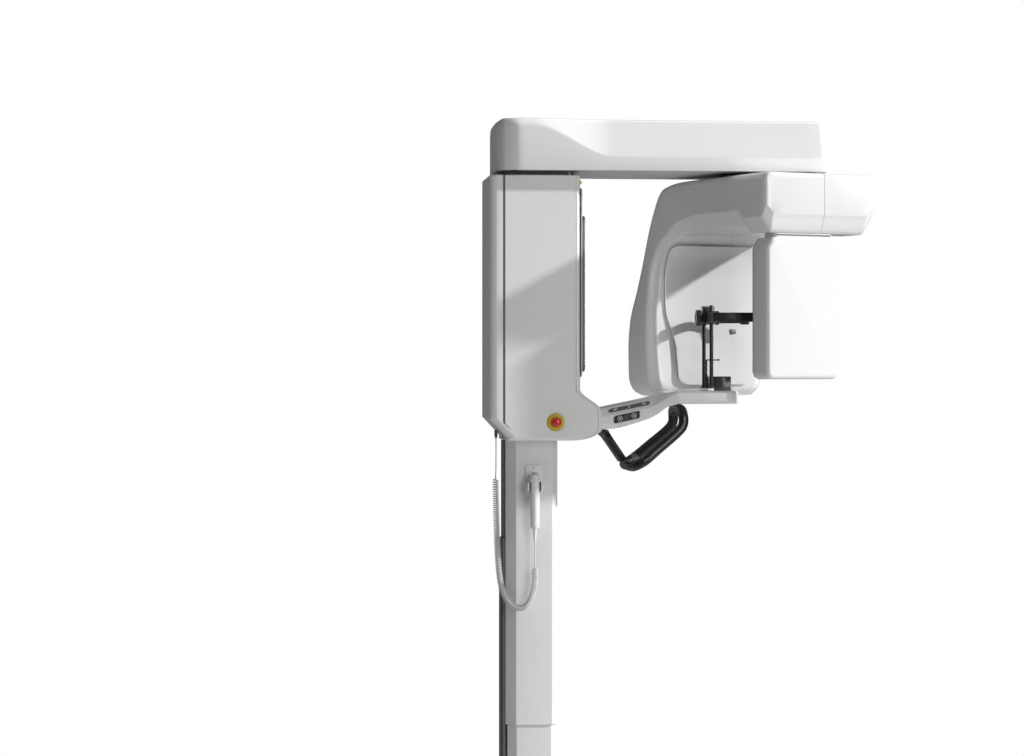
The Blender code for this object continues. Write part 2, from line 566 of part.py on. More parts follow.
def build_handset(lift):
    side = -COLUMN_HALF_X - GAP
    centre = (HANDSET_X, HANDSET_Y)
    plate = rounded_prism("handset_holder", box_outline(-0.022, 1.223, 0.022, 1.301, 0.004), "x", side
                          - 0.005, side, 0.001, ("holder_white", (0.82, 0.82, 0.81), 0.35), lift, 1)
    fork = prism("holder_fork", [(side - 0.004, -0.0205), (side - 0.004, 0.0205), (-0.1010, 0.0205),
                                 (-0.1030, 0.0185), (-0.1030, 0.0150), (-0.0880, 0.0150),
                                 (-0.0800, 0.0110), (-0.0780, 0.0000), (-0.0800, -0.0110),
                                 (-0.0880, -0.0150), (-0.1030, -0.0150), (-0.1030, -0.0185),
                                 (-0.1010, -0.0205)], "z", 1.234, 1.258, None, lift)
    boolean(plate, fork, "UNION")
    raise_it = empty("handset_axis", (HANDSET_X, HANDSET_Y, 1.2), lift)
    body = turned("handset", [(0.0105, 1.1390), (0.0120, 1.1450), (HANDSET_RADIUS, 1.2583),
                              (0.0168, 1.2590), (0.0168, 1.2650), (0.0135, 1.2700), (0.0128, 1.2770)],
                  centre, "z", ("handset_white", (0.84, 0.84, 0.83), 0.32), raise_it, 16)
    boolean(body, turned("handset_hole", [(0.0088, 1.2700), (0.0088, 1.2900)], centre, "z", None,
                         raise_it, 14))
    turned("strain_relief", [(0.0020, 1.1003), (0.0030, 1.1060), (0.0052, 1.1387)], centre, "z", DARK,
           raise_it, 10)
    press = empty("exposure_axis", (HANDSET_X, HANDSET_Y, 1.28), raise_it)
    turned("exposure_button", [(0.0080, 1.2735), (0.0080, 1.2820), (0.0060, 1.2838)], centre, "z",
           ("button_grey", (0.6, 0.6, 0.6), 0.35), press, 14)


# The handset's curly cord: a straight lead, the coil's outer shape and a straight tail
LEAD_ROUTE = [(-0.061, 0.098, 1.3712), (-0.061, 0.098, 1.350), (-0.061, 0.098, 1.315),
              (-0.0615, 0.0983, 1.290), (-0.063, 0.0995, 1.2685)]
COIL_ROUTE = [(-0.063, 0.0995, 1.2680), (-0.063, 0.098, 1.195), (-0.0635, 0.096, 1.128),
              (-0.066, 0.0935, 1.063), (-0.071, 0.088, 1.003), (-0.076, 0.078, 0.967),
              (-0.081, 0.061, 0.942), (-0.086, 0.038, 0.932), (-0.091, 0.018, 0.943),
              (-0.0945, 0.005, 0.972), (-0.0965, 0.000, 1.007), (-0.0970, 0.000, 1.039)]
TAIL_ROUTE = [(-0.0970, 0.000, 1.0395), (-0.0965, 0.000, 1.060), (-0.0955, 0.000, 1.082),
              (-0.0950, 0.000, 1.1000)]


def build_cord(lift):
    turned("cord_gland", [(0.0025, 1.3715), (0.0040, 1.3755), (0.0045, 1.3925)], (-0.061, 0.098), "z",
           DARK, lift, 10)
    cord_tube("cord_lead", smooth_path(LEAD_ROUTE, 0.008), CORD_DIAMETER, 2, lift)
    cord_tube("cord_coil", smooth_path(COIL_ROUTE, 0.016), COIL_DIAMETER, 2, lift)
    cord_tube("cord_tail", smooth_path(TAIL_ROUTE, 0.008), CORD_DIAMETER, 2, lift)


# Cross slide in the arm: carries the C-arm's bearing and motor
MOTOR_Y = -0.410
HUB_RADIUS, PULLEY_RADIUS, PINION_RADIUS = 0.044, 0.075, 0.015
PULLEY_LOW, PULLEY_HIGH = 2.100, 2.114


def build_cross_slide(lift):
    slide = empty("cross_slide_axis", (0, AXIS_Y, 2.083), lift)
    centre = (0.0, AXIS_Y)
    plate = prism("cross_slide", box_outline(-0.120, -0.660, 0.120, -0.365, 0.01), "z", 2.0788, 2.0868,
                  STEEL, slide)
    boolean(plate, prism("bearing_seat", circle(0.0600, centre, 24), "z", 2.0, 2.2, None, slide))
    turned("swivel_bearing", [(0.0597, 2.0788), (0.0597, 2.0870), (0.0660, 2.0872), (0.0660, 2.0950),
                              (0.0445, 2.0950), (0.0445, 2.0788)], centre, "z",
           ("bearing_steel", (0.62, 0.62, 0.63), 0.25, 1.0), slide, 24, True)
    motor = turned("rotation_motor", [(0.028, 2.1165), (0.028, 2.1620), (0.022, 2.1650)], (0, MOTOR_Y),
                   "z", ("motor_black", (0.06, 0.06, 0.06), 0.5, 0.3), slide, 20)
    leg = prism("motor_leg", box_outline(-0.018, MOTOR_Y + 0.024, 0.018, MOTOR_Y + 0.038), "z", 2.0871,
                2.150, None, slide)
    boolean(motor, leg, "UNION")
    spin = empty("pinion_axis", (0, MOTOR_Y, 2.107), slide)
    turned("drive_pulley", [(PINION_RADIUS, PULLEY_LOW), (PINION_RADIUS, PULLEY_HIGH),
                            (0.005, PULLEY_HIGH + 0.0002), (0.005, PULLEY_HIGH + 0.0020)], (0, MOTOR_Y),
           "z", STEEL, spin, 16)
    build_belt(slide)
    build_c_arm(slide)


def build_belt(slide):
    """A flat belt around both pulleys: two arcs and the two straight runs between them."""
    span = MOTOR_Y - AXIS_Y
    lean = (PULLEY_RADIUS - PINION_RADIUS) / span
    tilt = asin(lean)

    def run(extra):
        points = []
        for centre_y, radius, first, last, steps in ((MOTOR_Y, PINION_RADIUS + extra, tilt, pi - tilt, 6),
                (AXIS_Y, PULLEY_RADIUS + extra, pi - tilt, 2 * pi + tilt, 18)):
            for k in range(steps + 1):
                a = first + (last - first) * k / steps
                points.append((radius * cos(a), centre_y + radius * sin(a)))
        return points

    pipe("drive_belt", run(0.0026), run(0.0008), "z", PULLEY_LOW + 0.002, PULLEY_HIGH - 0.002,
         ("belt_rubber", (0.02, 0.02, 0.02), 0.7), slide)


# C-arm, in its own frame: the sensor towards -X, the tube towards +X, turned by its empty
# Stations along the C from the sensor's end to the tube's foot: outer (x, z), inner (x, z), y front, y back
C_STATIONS = [((-0.2950, 2.043), (-0.2950, 1.945), -0.194, 0.117),
              ((-0.2910, 2.049), (-0.2910, 1.936), -0.203, 0.125),
              ((-0.2720, 2.051), (-0.2700, 1.897), C_FRONT, C_BACK),
              ((-0.1900, 2.051), (-0.1900, 1.897), C_FRONT, C_BACK),
              ((-0.1650, 2.051), (-0.1650, 1.917), C_FRONT, C_BACK),
              ((-0.0500, 2.051), (-0.0500, 1.917), C_FRONT, C_BACK),
              ((0.0500, 2.0510), (0.0400, 1.917), C_FRONT, C_BACK),
              ((0.1350, 2.0500), (0.0950, 1.917), C_FRONT, C_BACK),
              ((0.2100, 2.0380), (0.1300, 1.910), -0.206, 0.135),
              ((0.2460, 1.9850), (0.1480, 1.885), -0.203, 0.141),
              ((0.2650, 1.9100), (0.1580, 1.855), -0.198, 0.151),
              ((0.2780, 1.8300), (0.1630, 1.800), -0.189, 0.161),
              ((0.2960, 1.7600), (0.1620, 1.740), -0.179, 0.168),
              ((0.3160, 1.6800), (0.1540, 1.670), -0.168, 0.177),
              ((0.3220, 1.6090), (0.1450, 1.605), -0.159, 0.179),
              ((0.3210, 1.5300), (0.1320, 1.535), -0.150, 0.178),
              ((0.3100, 1.4920), (0.1290, 1.503), -0.138, 0.169),
              ((0.2840, 1.4780), (0.1420, 1.480), -0.122, 0.156)]


def hollow(y, front, back, station):
    """How much deeper the leg's inner face is at a place across it: it leans outwards towards the back."""
    leg = min(max((station - 8) / 3, 0.0), 1.0)
    most = 0.045 + 0.012 * min(max((station - 13) / 3, 0.0), 1.0)
    return leg * most * ((y - front) / (back - front)) ** 1.2


def c_rings(step=0.0):
    rings = []
    last = len(C_STATIONS) - 1
    for i, (outer, inner, front, back) in enumerate(C_STATIONS):
        beam = min(max((9 - i) / 3, 0.0), 1.0)
        round_by, cut_in, cut_y = 0.018 - step, 0.020 + 0.021 * beam, 0.020 + 0.008 * beam
        end = max(2 - i, 0) / 2
        cut_in, cut_y = cut_in + (0.014 - cut_in) * end, cut_y + (0.014 - cut_y) * end
        o, n = Vector(outer), Vector(inner)
        across = (n - o).normalized()
        ahead = Vector((-across.y, across.x))
        o, n = o + across * step, n - across * step
        shift = ahead * (step if i == 0 else -step if i == last else 0.0)
        o, n, length = o + shift, n + shift, (n - o).length
        low, high, near = front + step, back - step, 0.3 * round_by
        spots = [(round_by, low), (near, low + near), (0.0, low + round_by), (0.0, high - round_by),
                 (near, high - near), (round_by, high)]
        spots.append((length - cut_in - hollow(high, front, back, i), high))
        for share in (1.0, 0.75, 0.5, 0.25, 0.0):
            y = low + cut_y + (high - low - 2 * cut_y) * share
            spots.append((length - hollow(y, front, back, i), y))
        spots.append((length - cut_in, low))
        rings.append([((o + across * a).x, y, (o + across * a).y) for a, y in spots])
    return rings


def build_c_arm(slide):
    turn = empty("c_arm_axis", (0.0, AXIS_Y, 0.0), slide, REST_TURN)
    for name, low, high in (("c_front_cover", -0.5, C_SPLIT_Y), ("c_rear_cover", C_SPLIT_Y + GAP, 0.5)):
        cover = loft(name, c_rings(), WHITE, turn)
        boolean(cover, loft(name + "_room", c_rings(C_WALL), None, turn))
        boolean(cover, prism(name + "_hub_hole", circle(HUB_RADIUS + 0.002, sides=26), "z", 2.0, 2.1,
                             None, turn))
        boolean(cover, prism(name + "_window", box_outline(-0.100, 1.530, 0.095, 1.860), "x", 0.05, 0.212,
                             None, turn))
        boolean(cover, prism(name + "_side", box_outline(-0.5, low, 0.5, high), "z", 1.3, 2.2, None,
                             turn), "INTERSECT")
    build_tube_side(turn)
    build_sensor(turn)
    frame = prism("swivel_hub", [(-0.25, 1.947), (-0.25, 1.935), (0.196, 1.935), (0.206, 1.600),
                                 (0.216, 1.600), (0.206, 1.947)], "y", -0.015, 0.085,
                  ("hub_black", (0.03, 0.03, 0.03), 0.45, 0.2), turn)
    hub = turned("hub_stack", [(HUB_RADIUS, 1.930), (HUB_RADIUS, 2.0515), (0.070, 2.0515),
                               (0.070, 2.0612), (HUB_RADIUS, 2.0612), (HUB_RADIUS, PULLEY_LOW),
                               (PULLEY_RADIUS, PULLEY_LOW), (PULLEY_RADIUS, PULLEY_HIGH),
                               (0.030, PULLEY_HIGH)], (0, 0), "z", None, turn, 32)
    boolean(frame, hub, "UNION")


def inner_face(y, z):
    """The leg's inner face: its x at a place across and up."""
    for i in range(9, 16):
        (_, top, front, back), (_, low, _, _) = C_STATIONS[i], C_STATIONS[i + 1]
        if low[1] <= z <= top[1]:
            part = (top[1] - z) / (top[1] - low[1])
            depth = hollow(y, front, back, i) * (1 - part) + hollow(y, front, back, i + 1) * part
            return top[0] + (low[0] - top[0]) * part + depth
    raise ValueError(z)


def front_at(z):
    """The leg's front at a height, from the stations."""
    for (_, top, front, _), (_, low, front_below, _) in zip(C_STATIONS[8:], C_STATIONS[9:]):
        if low[1] <= z <= top[1]:
            return front + (front_below - front) * (top[1] - z) / (top[1] - low[1])
    raise ValueError(z)


def build_tube_side(turn):
    heights = [1.510, 1.535, 1.605, 1.670, 1.740, 1.800, 1.855, 1.880]
    rings = []
    for i, z in enumerate(heights):
        trim = 0.010 if i in (0, len(heights) - 1) else 0.0
        low, high = front_at(z) + 0.032 + trim, 0.116 - trim
        places = [low + (high - low) * k / 6 for k in range(7)]
        back = [(inner_face(y, z) - 0.0034, y, z) for y in places]
        rings.append(back + [(x - 0.004, y, z) for x, y, z in reversed(back)])
    panel = loft("tube_inner_panel", rings, ("panel_white", (0.84, 0.84, 0.83), 0.25), turn)
    boolean(panel, prism("beam_window", box_outline(-0.069, 1.6450, -0.053, 1.6570), "x", 0.10, 0.20,
                         None, turn))
    block = prism("collimator", box_outline(-0.095, 1.615, -0.025, 1.690, 0.006, 2), "x", 0.1925, 0.2125,
                  DARK, turn)
    boolean(block, prism("collimator_slot", box_outline(-0.064, 1.635, -0.058, 1.667), "x", 0.18, 0.22,
                         None, turn))
    tank = rounded_prism("tube_tank", box_outline(-0.118, 1.560, 0.090, 1.770, 0.02, 2), "x", 0.219,
                         0.274, 0.010, STEEL, turn, 1)
    boolean(tank, rounded_prism("tank_room", box_outline(-0.113, 1.565, 0.085, 1.765, 0.018, 2), "x",
                                0.223, 0.270, 0.008, None, turn, 1))
    boolean(tank, prism("tank_port", circle(0.016, (-0.061, 1.651)), "x", 0.21, 0.24, None, turn))
    turned("x_ray_tube", [(0.012, 1.590), (0.022, 1.605), (0.022, 1.700), (0.012, 1.715), (0.012, 1.735)],
           (0.2465, -0.061), "z", ("tube_glass", (0.75, 0.8, 0.8), 0.05, 0.0, 0.4), turn, 14)


def build_sensor(turn):
    outline = [(-0.105, SENSOR_BOTTOM), (0.112, SENSOR_BOTTOM), (0.112, 1.858), (0.096, SENSOR_TOP),
               (-0.105, SENSOR_TOP)]
    outline = fillet(outline, [0.020, 0.020, 0.012, 0.012, 0.020], 2)
    open_x = SENSOR_INNER - 0.0042
    rings = rounded_rings(outline, "x", SENSOR_OUTER, open_x, 0.011, 3)[:4]
    rings.append([place(p, "x", open_x) for p in outline])
    shell = loft("sensor_housing", rings, WHITE, turn)
    neck = prism("sensor_neck", box_outline(-0.272, -0.090, -0.218, 0.085, 0.01), "z", 1.8740, BEAM_BOTTOM
                 - 0.0004, None, turn)
    boolean(shell, neck, "UNION")
    boolean(shell, rounded_prism("sensor_room", inset(outline, 0.0035), "x", SENSOR_OUTER + 0.004, -0.1,
                                 0.0075, None, turn, 3))
    prism("sensor_window", inset(outline, 0.0006), "x", open_x + GAP, SENSOR_INNER,
          ("sensor_black", (0.05, 0.05, 0.055), 0.3), turn)
    prism("sensor_panel", box_outline(-0.085, 1.545, 0.092, 1.850), "x", -0.240, -0.222,
          ("board_green", (0.05, 0.2, 0.1), 0.5), turn)


def build():
    clear_scene()
    build_base()
    lift = empty("lift_axis", (0, 0, 0))
    build_column(lift)
    build_carriage(lift)
    build_estop(lift)
    build_arm(lift)
    build_shelf(lift)
    build_handle(lift)
    build_head_support(lift)
    build_chin_rest(lift)
    build_handset(lift)
    build_cord(lift)
    build_cross_slide(lift)


build()
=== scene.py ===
"""The looks of the panoramic x-ray machine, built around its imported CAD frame.  Metres, +Z up."""
from math import cos, exp, pi, radians, sin, sqrt

import bmesh
import bpy
from mathutils import Matrix, Vector


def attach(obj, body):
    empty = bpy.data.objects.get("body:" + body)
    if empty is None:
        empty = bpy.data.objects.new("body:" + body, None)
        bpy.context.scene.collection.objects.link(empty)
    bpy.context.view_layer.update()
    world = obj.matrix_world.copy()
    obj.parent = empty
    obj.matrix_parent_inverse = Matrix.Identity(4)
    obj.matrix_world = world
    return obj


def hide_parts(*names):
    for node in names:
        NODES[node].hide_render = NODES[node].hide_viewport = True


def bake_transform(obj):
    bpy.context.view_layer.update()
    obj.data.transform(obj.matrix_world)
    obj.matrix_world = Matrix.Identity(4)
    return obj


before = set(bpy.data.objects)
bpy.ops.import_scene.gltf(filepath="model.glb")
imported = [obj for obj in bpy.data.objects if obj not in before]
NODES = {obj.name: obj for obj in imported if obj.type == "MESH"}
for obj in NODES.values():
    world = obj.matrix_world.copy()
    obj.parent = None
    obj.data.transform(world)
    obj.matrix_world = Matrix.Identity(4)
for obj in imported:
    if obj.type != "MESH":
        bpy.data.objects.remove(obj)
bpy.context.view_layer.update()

# Driving dimensions, as the CAD has them
COLUMN_HALF_X, COLUMN_FRONT, COLUMN_BACK = 0.063, -0.064, 0.071
INNER_STEP = 0.005
OUTER_BOTTOM, OUTER_TOP = 0.625, 2.051
CARRIAGE_HALF_X, CARRIAGE_FRONT, CARRIAGE_BACK = 0.125, -0.117, 0.120
CARRIAGE_BOTTOM, CARRIAGE_TOP = 1.366, 2.051
ARM_BOTTOM, ARM_TOP, ARM_FRONT, ARM_BACK, ARM_HALF_X = 2.062, 2.200, -0.760, 0.100, 0.155
AXIS_Y, REST_TURN = -0.570, radians(22)
C_FRONT, C_BACK, C_SPLIT_Y = -0.207, 0.129, -0.050
BEAM_BOTTOM = 1.897
SENSOR_OUTER, SENSOR_INNER, SENSOR_BOTTOM, SENSOR_TOP = -0.280, -0.207, 1.525, 1.886
SHELF_TOP, SHELF_BOTTOM, SHELF_SEAM_Y, SHELF_FRONT = 1.494, 1.460, -0.3725, -0.539
SLOPE_IN, SLOPE_DOWN = 0.024, 0.022
ROD_X, ROD_Y, ROD_RADIUS, ROD_TOP = 0.057, -0.469, 0.005, 1.718
BAND_BOTTOM, BAND_TOP = 1.672, 1.699
HANDSET_X, HANDSET_Y = -0.095, 0.0
CORD_DIAMETER, COIL_DIAMETER = 0.003, 0.017
ESTOP_Y, ESTOP_Z = -0.052, 1.414
WALL = 0.0035
IN_C_ARM = Matrix.Translation((0.0, AXIS_Y, 0.0)) @ Matrix.Rotation(REST_TURN, 4, "Z")


# ---------------------------------------------------------------- outlines
def smoothstep(t):
    t = min(max(t, 0.0), 1.0)
    return t * t * (3 - 2 * t)


def fillet(corners, radii, steps=6):
    """A polygon with each corner replaced by an arc; a radius of 0 keeps the corner."""
    out = []
    for i, corner in enumerate(corners):
        here = Vector(corner)
        before = (Vector(corners[i - 1]) - here).normalized()
        after = (Vector(corners[(i + 1) % len(corners)]) - here).normalized()
        radius = radii[i] if isinstance(radii, (list, tuple)) else radii
        if radius <= 0:
            out.append(tuple(here))
            continue
        half = before.angle(after) / 2
        reach = radius / max(sin(half) / cos(half), 1e-6)
        start, end = here + before * reach, here + after * reach
        for k in range(steps + 1):
            t = k / steps
            out.append(tuple(start * (1 - t) ** 2 + here * 2 * t * (1 - t) + end * t * t))
    return out


def area(outline):
    return sum(a[0] * b[1] - b[0] * a[1] for a, b in zip(outline, outline[1:] + outline[:1])) / 2


def inset(outline, distance):
    """The outline moved inwards by a distance."""
    turn = 1 if area(outline) > 0 else -1
    out = []
    for i, point in enumerate(outline):
        here, before, after = Vector(point), Vector(outline[i - 1]), Vector(outline[(i + 1) % len(outline)])
        a, b = (here - before).normalized(), (after - here).normalized()
        na, nb = Vector((-a.y, a.x)) * turn, Vector((-b.y, b.x)) * turn
        out.append(tuple(here + (na + nb) * (distance / max(1 + na.dot(nb), 0.2))))
    return out


def mirrored(right):
    """A whole outline from its right half."""
    return right + [(-x, y) for x, y in reversed(right)]


def box(x0, y0, x1, y1, radius=0.0, steps=6):
    return fillet([(x0, y0), (x1, y0), (x1, y1), (x0, y1)], radius, steps)


def circle(radius, centre=(0.0, 0.0), sides=48):
    return [(centre[0] + radius * cos(2 * pi * k / sides), centre[1] + radius * sin(2 * pi * k / sides))
            for k in range(sides)]


def quarter(radius, steps):
    """A quarter turn of a rounded edge, as (how far in, how far short of the end)."""
    turns = [pi / 2 * k / steps for k in range(steps + 1)]
    return [(radius * (1 - cos(a)), radius * (1 - sin(a))) for a in turns]


def place(point, axis, along):
    """A 2-D point at a distance along an axis: X takes (y, z), Y takes (x, z), Z takes (x, y)."""
    u, v = point
    return {"x": (along, u, v), "y": (u, along, v), "z": (u, v, along)}[axis]


def steady(values, at):
    """A smooth curve through evenly spaced values that never overshoots them."""
    i = min(int(at), len(values) - 2)
    t = at - i
    rises = [b - a for a, b in zip(values, values[1:])]

    def slope(k):
        if k == 0 or k == len(values) - 1:
            return rises[0] if k == 0 else rises[-1]
        a, b = rises[k - 1], rises[k]
        return 0.0 if a * b <= 0 else 2 * a * b / (a + b)

    a, b = values[i], values[i + 1]
    t2, t3 = t * t, t * t * t
    return (a * (2 * t3 - 3 * t2 + 1) + slope(i) * (t3 - 2 * t2 + t) + b * (3 * t2 - 2 * t3)
            + slope(i + 1) * (t3 - t2))


def smooth_path(points, spacing, closed=False):
    """Points at about even spacing on a Catmull-Rom curve through the given ones."""
    p = [Vector(q) for q in points]
    n = len(p)
    spans = n if closed else n - 1
    dense = []
    for i in range(spans):
        p0 = p[(i - 1) % n] if closed or i else p[0] * 2 - p[1]
        p1, p2 = p[i], p[(i + 1) % n]
        p3 = p[(i + 2) % n] if closed or i + 2 < n else p[-1] * 2 - p[-2]
        for k in range(24):
            t = k / 24
            dense.append((p1 * 2 + (p2 - p0) * t + (p0 * 2 - p1 * 5 + p2 * 4 - p3) * t * t
                          + (p1 * 3 - p0 - p2 * 3 + p3) * t ** 3) / 2)
    if not closed:
        dense.append(p[-1])
    loop = dense + dense[:1] if closed else dense
    lengths = [0.0]
    for a, b in zip(loop, loop[1:]):
        lengths.append(lengths[-1] + (b - a).length)
    count = max(2, round(lengths[-1] / spacing))
    out, j = [], 0
    for k in range(count if closed else count + 1):
        want = lengths[-1] * k / count
        while j < len(lengths) - 2 and lengths[j + 1] < want:
            j += 1
        part = (want - lengths[j]) / max(lengths[j + 1] - lengths[j], 1e-9)
        out.append(loop[j].lerp(loop[j + 1], part))
    return out


# ---------------------------------------------------------------- meshes
def face_out(bm):
    """Turns the whole surface round if most of it faces its own middle, as an open shell's may."""
    bmesh.ops.recalc_face_normals(bm, faces=bm.faces)
    middle = sum((v.co for v in bm.verts), Vector()) / len(bm.verts)
    if sum(f.normal.dot(f.calc_center_median() - middle) * f.calc_area() for f in bm.faces) < 0:
        bmesh.ops.reverse_faces(bm, faces=bm.faces)


def link(name, bm, look, matrix=None):
    """A mesh object with one material; its normals face out and its creases are sharp."""
    face_out(bm)
    mesh = bpy.data.meshes.new(name)
    bm.to_mesh(mesh)
    bm.free()
    if matrix:
        mesh.transform(matrix)
    made = bpy.data.objects.new(name, mesh)
    bpy.context.scene.collection.objects.link(made)
    mesh.materials.append(look)
    crease(made)
    return made


def crease(thing):
    thing.data.shade_smooth()
    thing.data.set_sharp_from_angle(angle=radians(32))


def add_rings(bm, rings, loop=True, first=True, last=True, closed=False):
    """Quads between rings; first and last close the ends, and loop closes each ring on itself."""
    rows = [[bm.verts.new(p) for p in ring] for ring in rings]
    size = len(rows[0])
    for a, b in list(zip(rows, rows[1:])) + ([(rows[-1], rows[0])] if closed else []):
        for i in range(size if loop else size - 1):
            j = (i + 1) % size
            bm.faces.new((a[i], a[j], b[j], b[i]))
    if first and not closed:
        bm.faces.new(rows[0][::-1])
    if last and not closed:
        bm.faces.new(rows[-1])
    return rows


def loft(name, rings, look, matrix=None, **ends):
    bm = bmesh.new()
    add_rings(bm, rings, **ends)
    return link(name, bm, look, matrix)


def prism(name, outline, axis, low, high, look):
    return loft(name, [[place(p, axis, at) for p in outline] for at in (low, high)], look)


def rounded_rings(outline, axis, low, high, radius, steps=5):
    """Rings of a prism whose two end edges are rounded over."""
    edge = quarter(radius, steps)
    levels = [(low + at, by) for by, at in reversed(edge)] + [(high - at, by) for by, at in edge]
    return [[place(p, axis, at) for p in inset(outline, by)] for at, by in levels]


def slab(name, outline, axis, low, high, radius, look, matrix=None, steps=5):
    return loft(name, rounded_rings(outline, axis, low, high, radius, steps), look, matrix)


def turned(name, profile, centre, axis, look, sides=48, hollow=False, lobes=0, depth=0.0):
    """A profile of (radius, distance along axis) turned about an axis through centre, with lobes if asked."""
    rings = []
    for radius, along in profile:
        spots = []
        for k in range(sides):
            turn = 2 * pi * k / sides
            reach = radius - depth * (0.5 + 0.5 * cos(lobes * turn)) if lobes else radius
            spots.append((centre[0] + reach * cos(turn), centre[1] + reach * sin(turn)))
        rings.append([place(p, axis, along) for p in spots])
    return loft(name, rings, look, closed=hollow)


def tube(path, profile, closed=False):
    """Rings of a section along a path; profile gives the section's radius for a turn about the path."""
    points = [Vector(p) for p in path]
    count = len(points)
    sides = len(profile)
    last_side, rings = None, []
    for i, here in enumerate(points):
        before = points[i - 1] if closed or i else here
        after = points[(i + 1) % count] if closed or i < count - 1 else here
        ahead = (after - before).normalized()
        if last_side is None:
            last_side = ahead.cross(Vector((0, 1, 0)) if abs(ahead.y) < 0.8 else Vector((0, 0, 1)))
        side = (last_side - ahead * last_side.dot(ahead)).normalized()
        last_side = side
        up = ahead.cross(side)
        rings.append([here + (side * cos(2 * pi * k / sides) + up * sin(2 * pi * k / sides)) * profile[k]
                      for k in range(sides)])
    return rings


def apply(thing):
    """The mesh as its modifiers make it."""
    graph = bpy.context.evaluated_depsgraph_get()
    mesh = bpy.data.meshes.new_from_object(thing.evaluated_get(graph), depsgraph=graph)
    old = thing.data
    thing.modifiers.clear()
    thing.data = mesh
    mesh.name = old.name
    bpy.data.meshes.remove(old)
    crease(thing)
    return thing


def thicken(thing, depth=WALL):
    step = thing.modifiers.new("wall", "SOLIDIFY")
    step.thickness = depth
    step.offset = -1.0
    step.use_even_offset = True
    return thing


def soften(thing, width=0.0006, segments=2, angle=40):
    step = thing.modifiers.new("edge", "BEVEL")
    step.width = width
    step.segments = segments
    step.limit_method = "ANGLE"
    step.angle_limit = radians(angle)
    return thing


def cut(thing, *cutters):
    """Takes the cutters away from the thing at once and removes them."""
    for cutter in cutters:
        step = thing.modifiers.new("cut", "BOOLEAN")
        step.object = cutter
        step.operation = "DIFFERENCE"
        step.solver = "EXACT"
        apply(thing)
        bpy.data.objects.remove(cutter, do_unlink=True)
    return thing


def join(*things):
    """One piece from several meshes, materials kept."""
    first = things[0]
    with bpy.context.temp_override(active_object=first, object=first, selected_objects=list(things),
                                   selected_editable_objects=list(things)):
        bpy.ops.object.join()
    return first


def settle(thing, body, *nodes, slot=None):
    """Puts a finished piece on its body and hides the CAD nodes it stands for."""
    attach(thing, body)
    if nodes:
        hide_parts(*nodes)
    return thing


# ---------------------------------------------------------------- materials
def shader(name, colour, roughness, metallic=0.0, **sockets):
    made = bpy.data.materials.new(name)
    made.use_nodes = True
    main = made.node_tree.nodes["Principled BSDF"]
    main.inputs["Base Color"].default_value = (*colour, 1.0)
    main.inputs["Roughness"].default_value = roughness
    main.inputs["Metallic"].default_value = metallic
    for socket, value in sockets.items():
        main.inputs[socket.replace("_", " ")].default_value = value
    return made


def noise(made, scale, detail=3.0, stretch=(1.0, 1.0, 1.0), kind="ShaderNodeTexNoise"):
    """The value of a texture laid out in the object's own metres."""
    tree = made.node_tree
    where, sized, pattern = (tree.nodes.new(n) for n in ("ShaderNodeTexCoord", "ShaderNodeMapping", kind))
    sized.inputs["Scale"].default_value = stretch
    pattern.inputs["Scale"].default_value = scale
    pattern.inputs["Detail"].default_value = detail
    tree.links.new(where.outputs["Object"], sized.inputs["Vector"])
    tree.links.new(sized.outputs["Vector"], pattern.inputs["Vector"])
    return pattern.outputs[0]


def ramp(tree, value, stops):
    made = tree.nodes.new("ShaderNodeValToRGB")
    elements = made.color_ramp.elements
    while len(elements) < len(stops):
        elements.new(0.5)
    for element, (at, colour) in zip(elements, stops):
        element.position = at
        element.color = (*colour, 1.0) if isinstance(colour, tuple) else (colour, colour, colour, 1.0)
    tree.links.new(value, made.inputs["Fac"])
    return made.outputs["Color"]


def vary(made, socket, value, stops):
    """Drives one of the shader's sockets with a value, through a colour ramp."""
    tree = made.node_tree
    tree.links.new(ramp(tree, value, stops), tree.nodes["Principled BSDF"].inputs[socket])


def bump(made, heights, strength=0.2, distance=0.0002):
    """Chained bumps from height outputs, the last one feeding the shader."""
    tree = made.node_tree
    before = None
    for height in heights:
        step = tree.nodes.new("ShaderNodeBump")
        step.inputs["Strength"].default_value = strength
        step.inputs["Distance"].default_value = distance
        tree.links.new(height, step.inputs["Height"])
        if before:
            tree.links.new(before, step.inputs["Normal"])
        before = step.outputs["Normal"]
    tree.links.new(before, tree.nodes["Principled BSDF"].inputs["Normal"])


def moulded(name, colour, roughness, tint=0.03, grain=900.0, peel=140.0, strength=0.12, rub=0.06,
            **sockets):
    """Moulded or painted surface: a faint cloudy tint, uneven gloss and a fine orange-peel grain."""
    made = shader(name, colour, roughness, **sockets)
    dark = tuple(c * (1 - tint) for c in colour)
    vary(made, "Base Color", noise(made, 5.0, 4.0), [(0.35, dark), (0.65, colour)])
    vary(made, "Roughness", noise(made, 18.0, 5.0, (1.0, 1.0, 0.35)),
         [(0.3, roughness - rub), (0.7, roughness + rub)])
    bump(made, [noise(made, peel, 2.0), noise(made, grain, 1.0)], strength)
    return made


def brushed(name, colour, roughness, along=(1.0, 1.0, 0.02)):
    """Metal with fine lines along one direction and slight discolouring."""
    made = shader(name, colour, roughness, 1.0, Anisotropic=0.4)
    lines = noise(made, 700.0, 2.0, along)
    dark = tuple(c * 0.86 for c in colour)
    vary(made, "Base Color", noise(made, 14.0, 3.0), [(0.3, dark), (0.7, colour)])
    vary(made, "Roughness", lines, [(0.25, roughness * 0.6), (0.75, roughness * 1.4)])
    bump(made, [lines], 0.10, 0.0001)
    return made


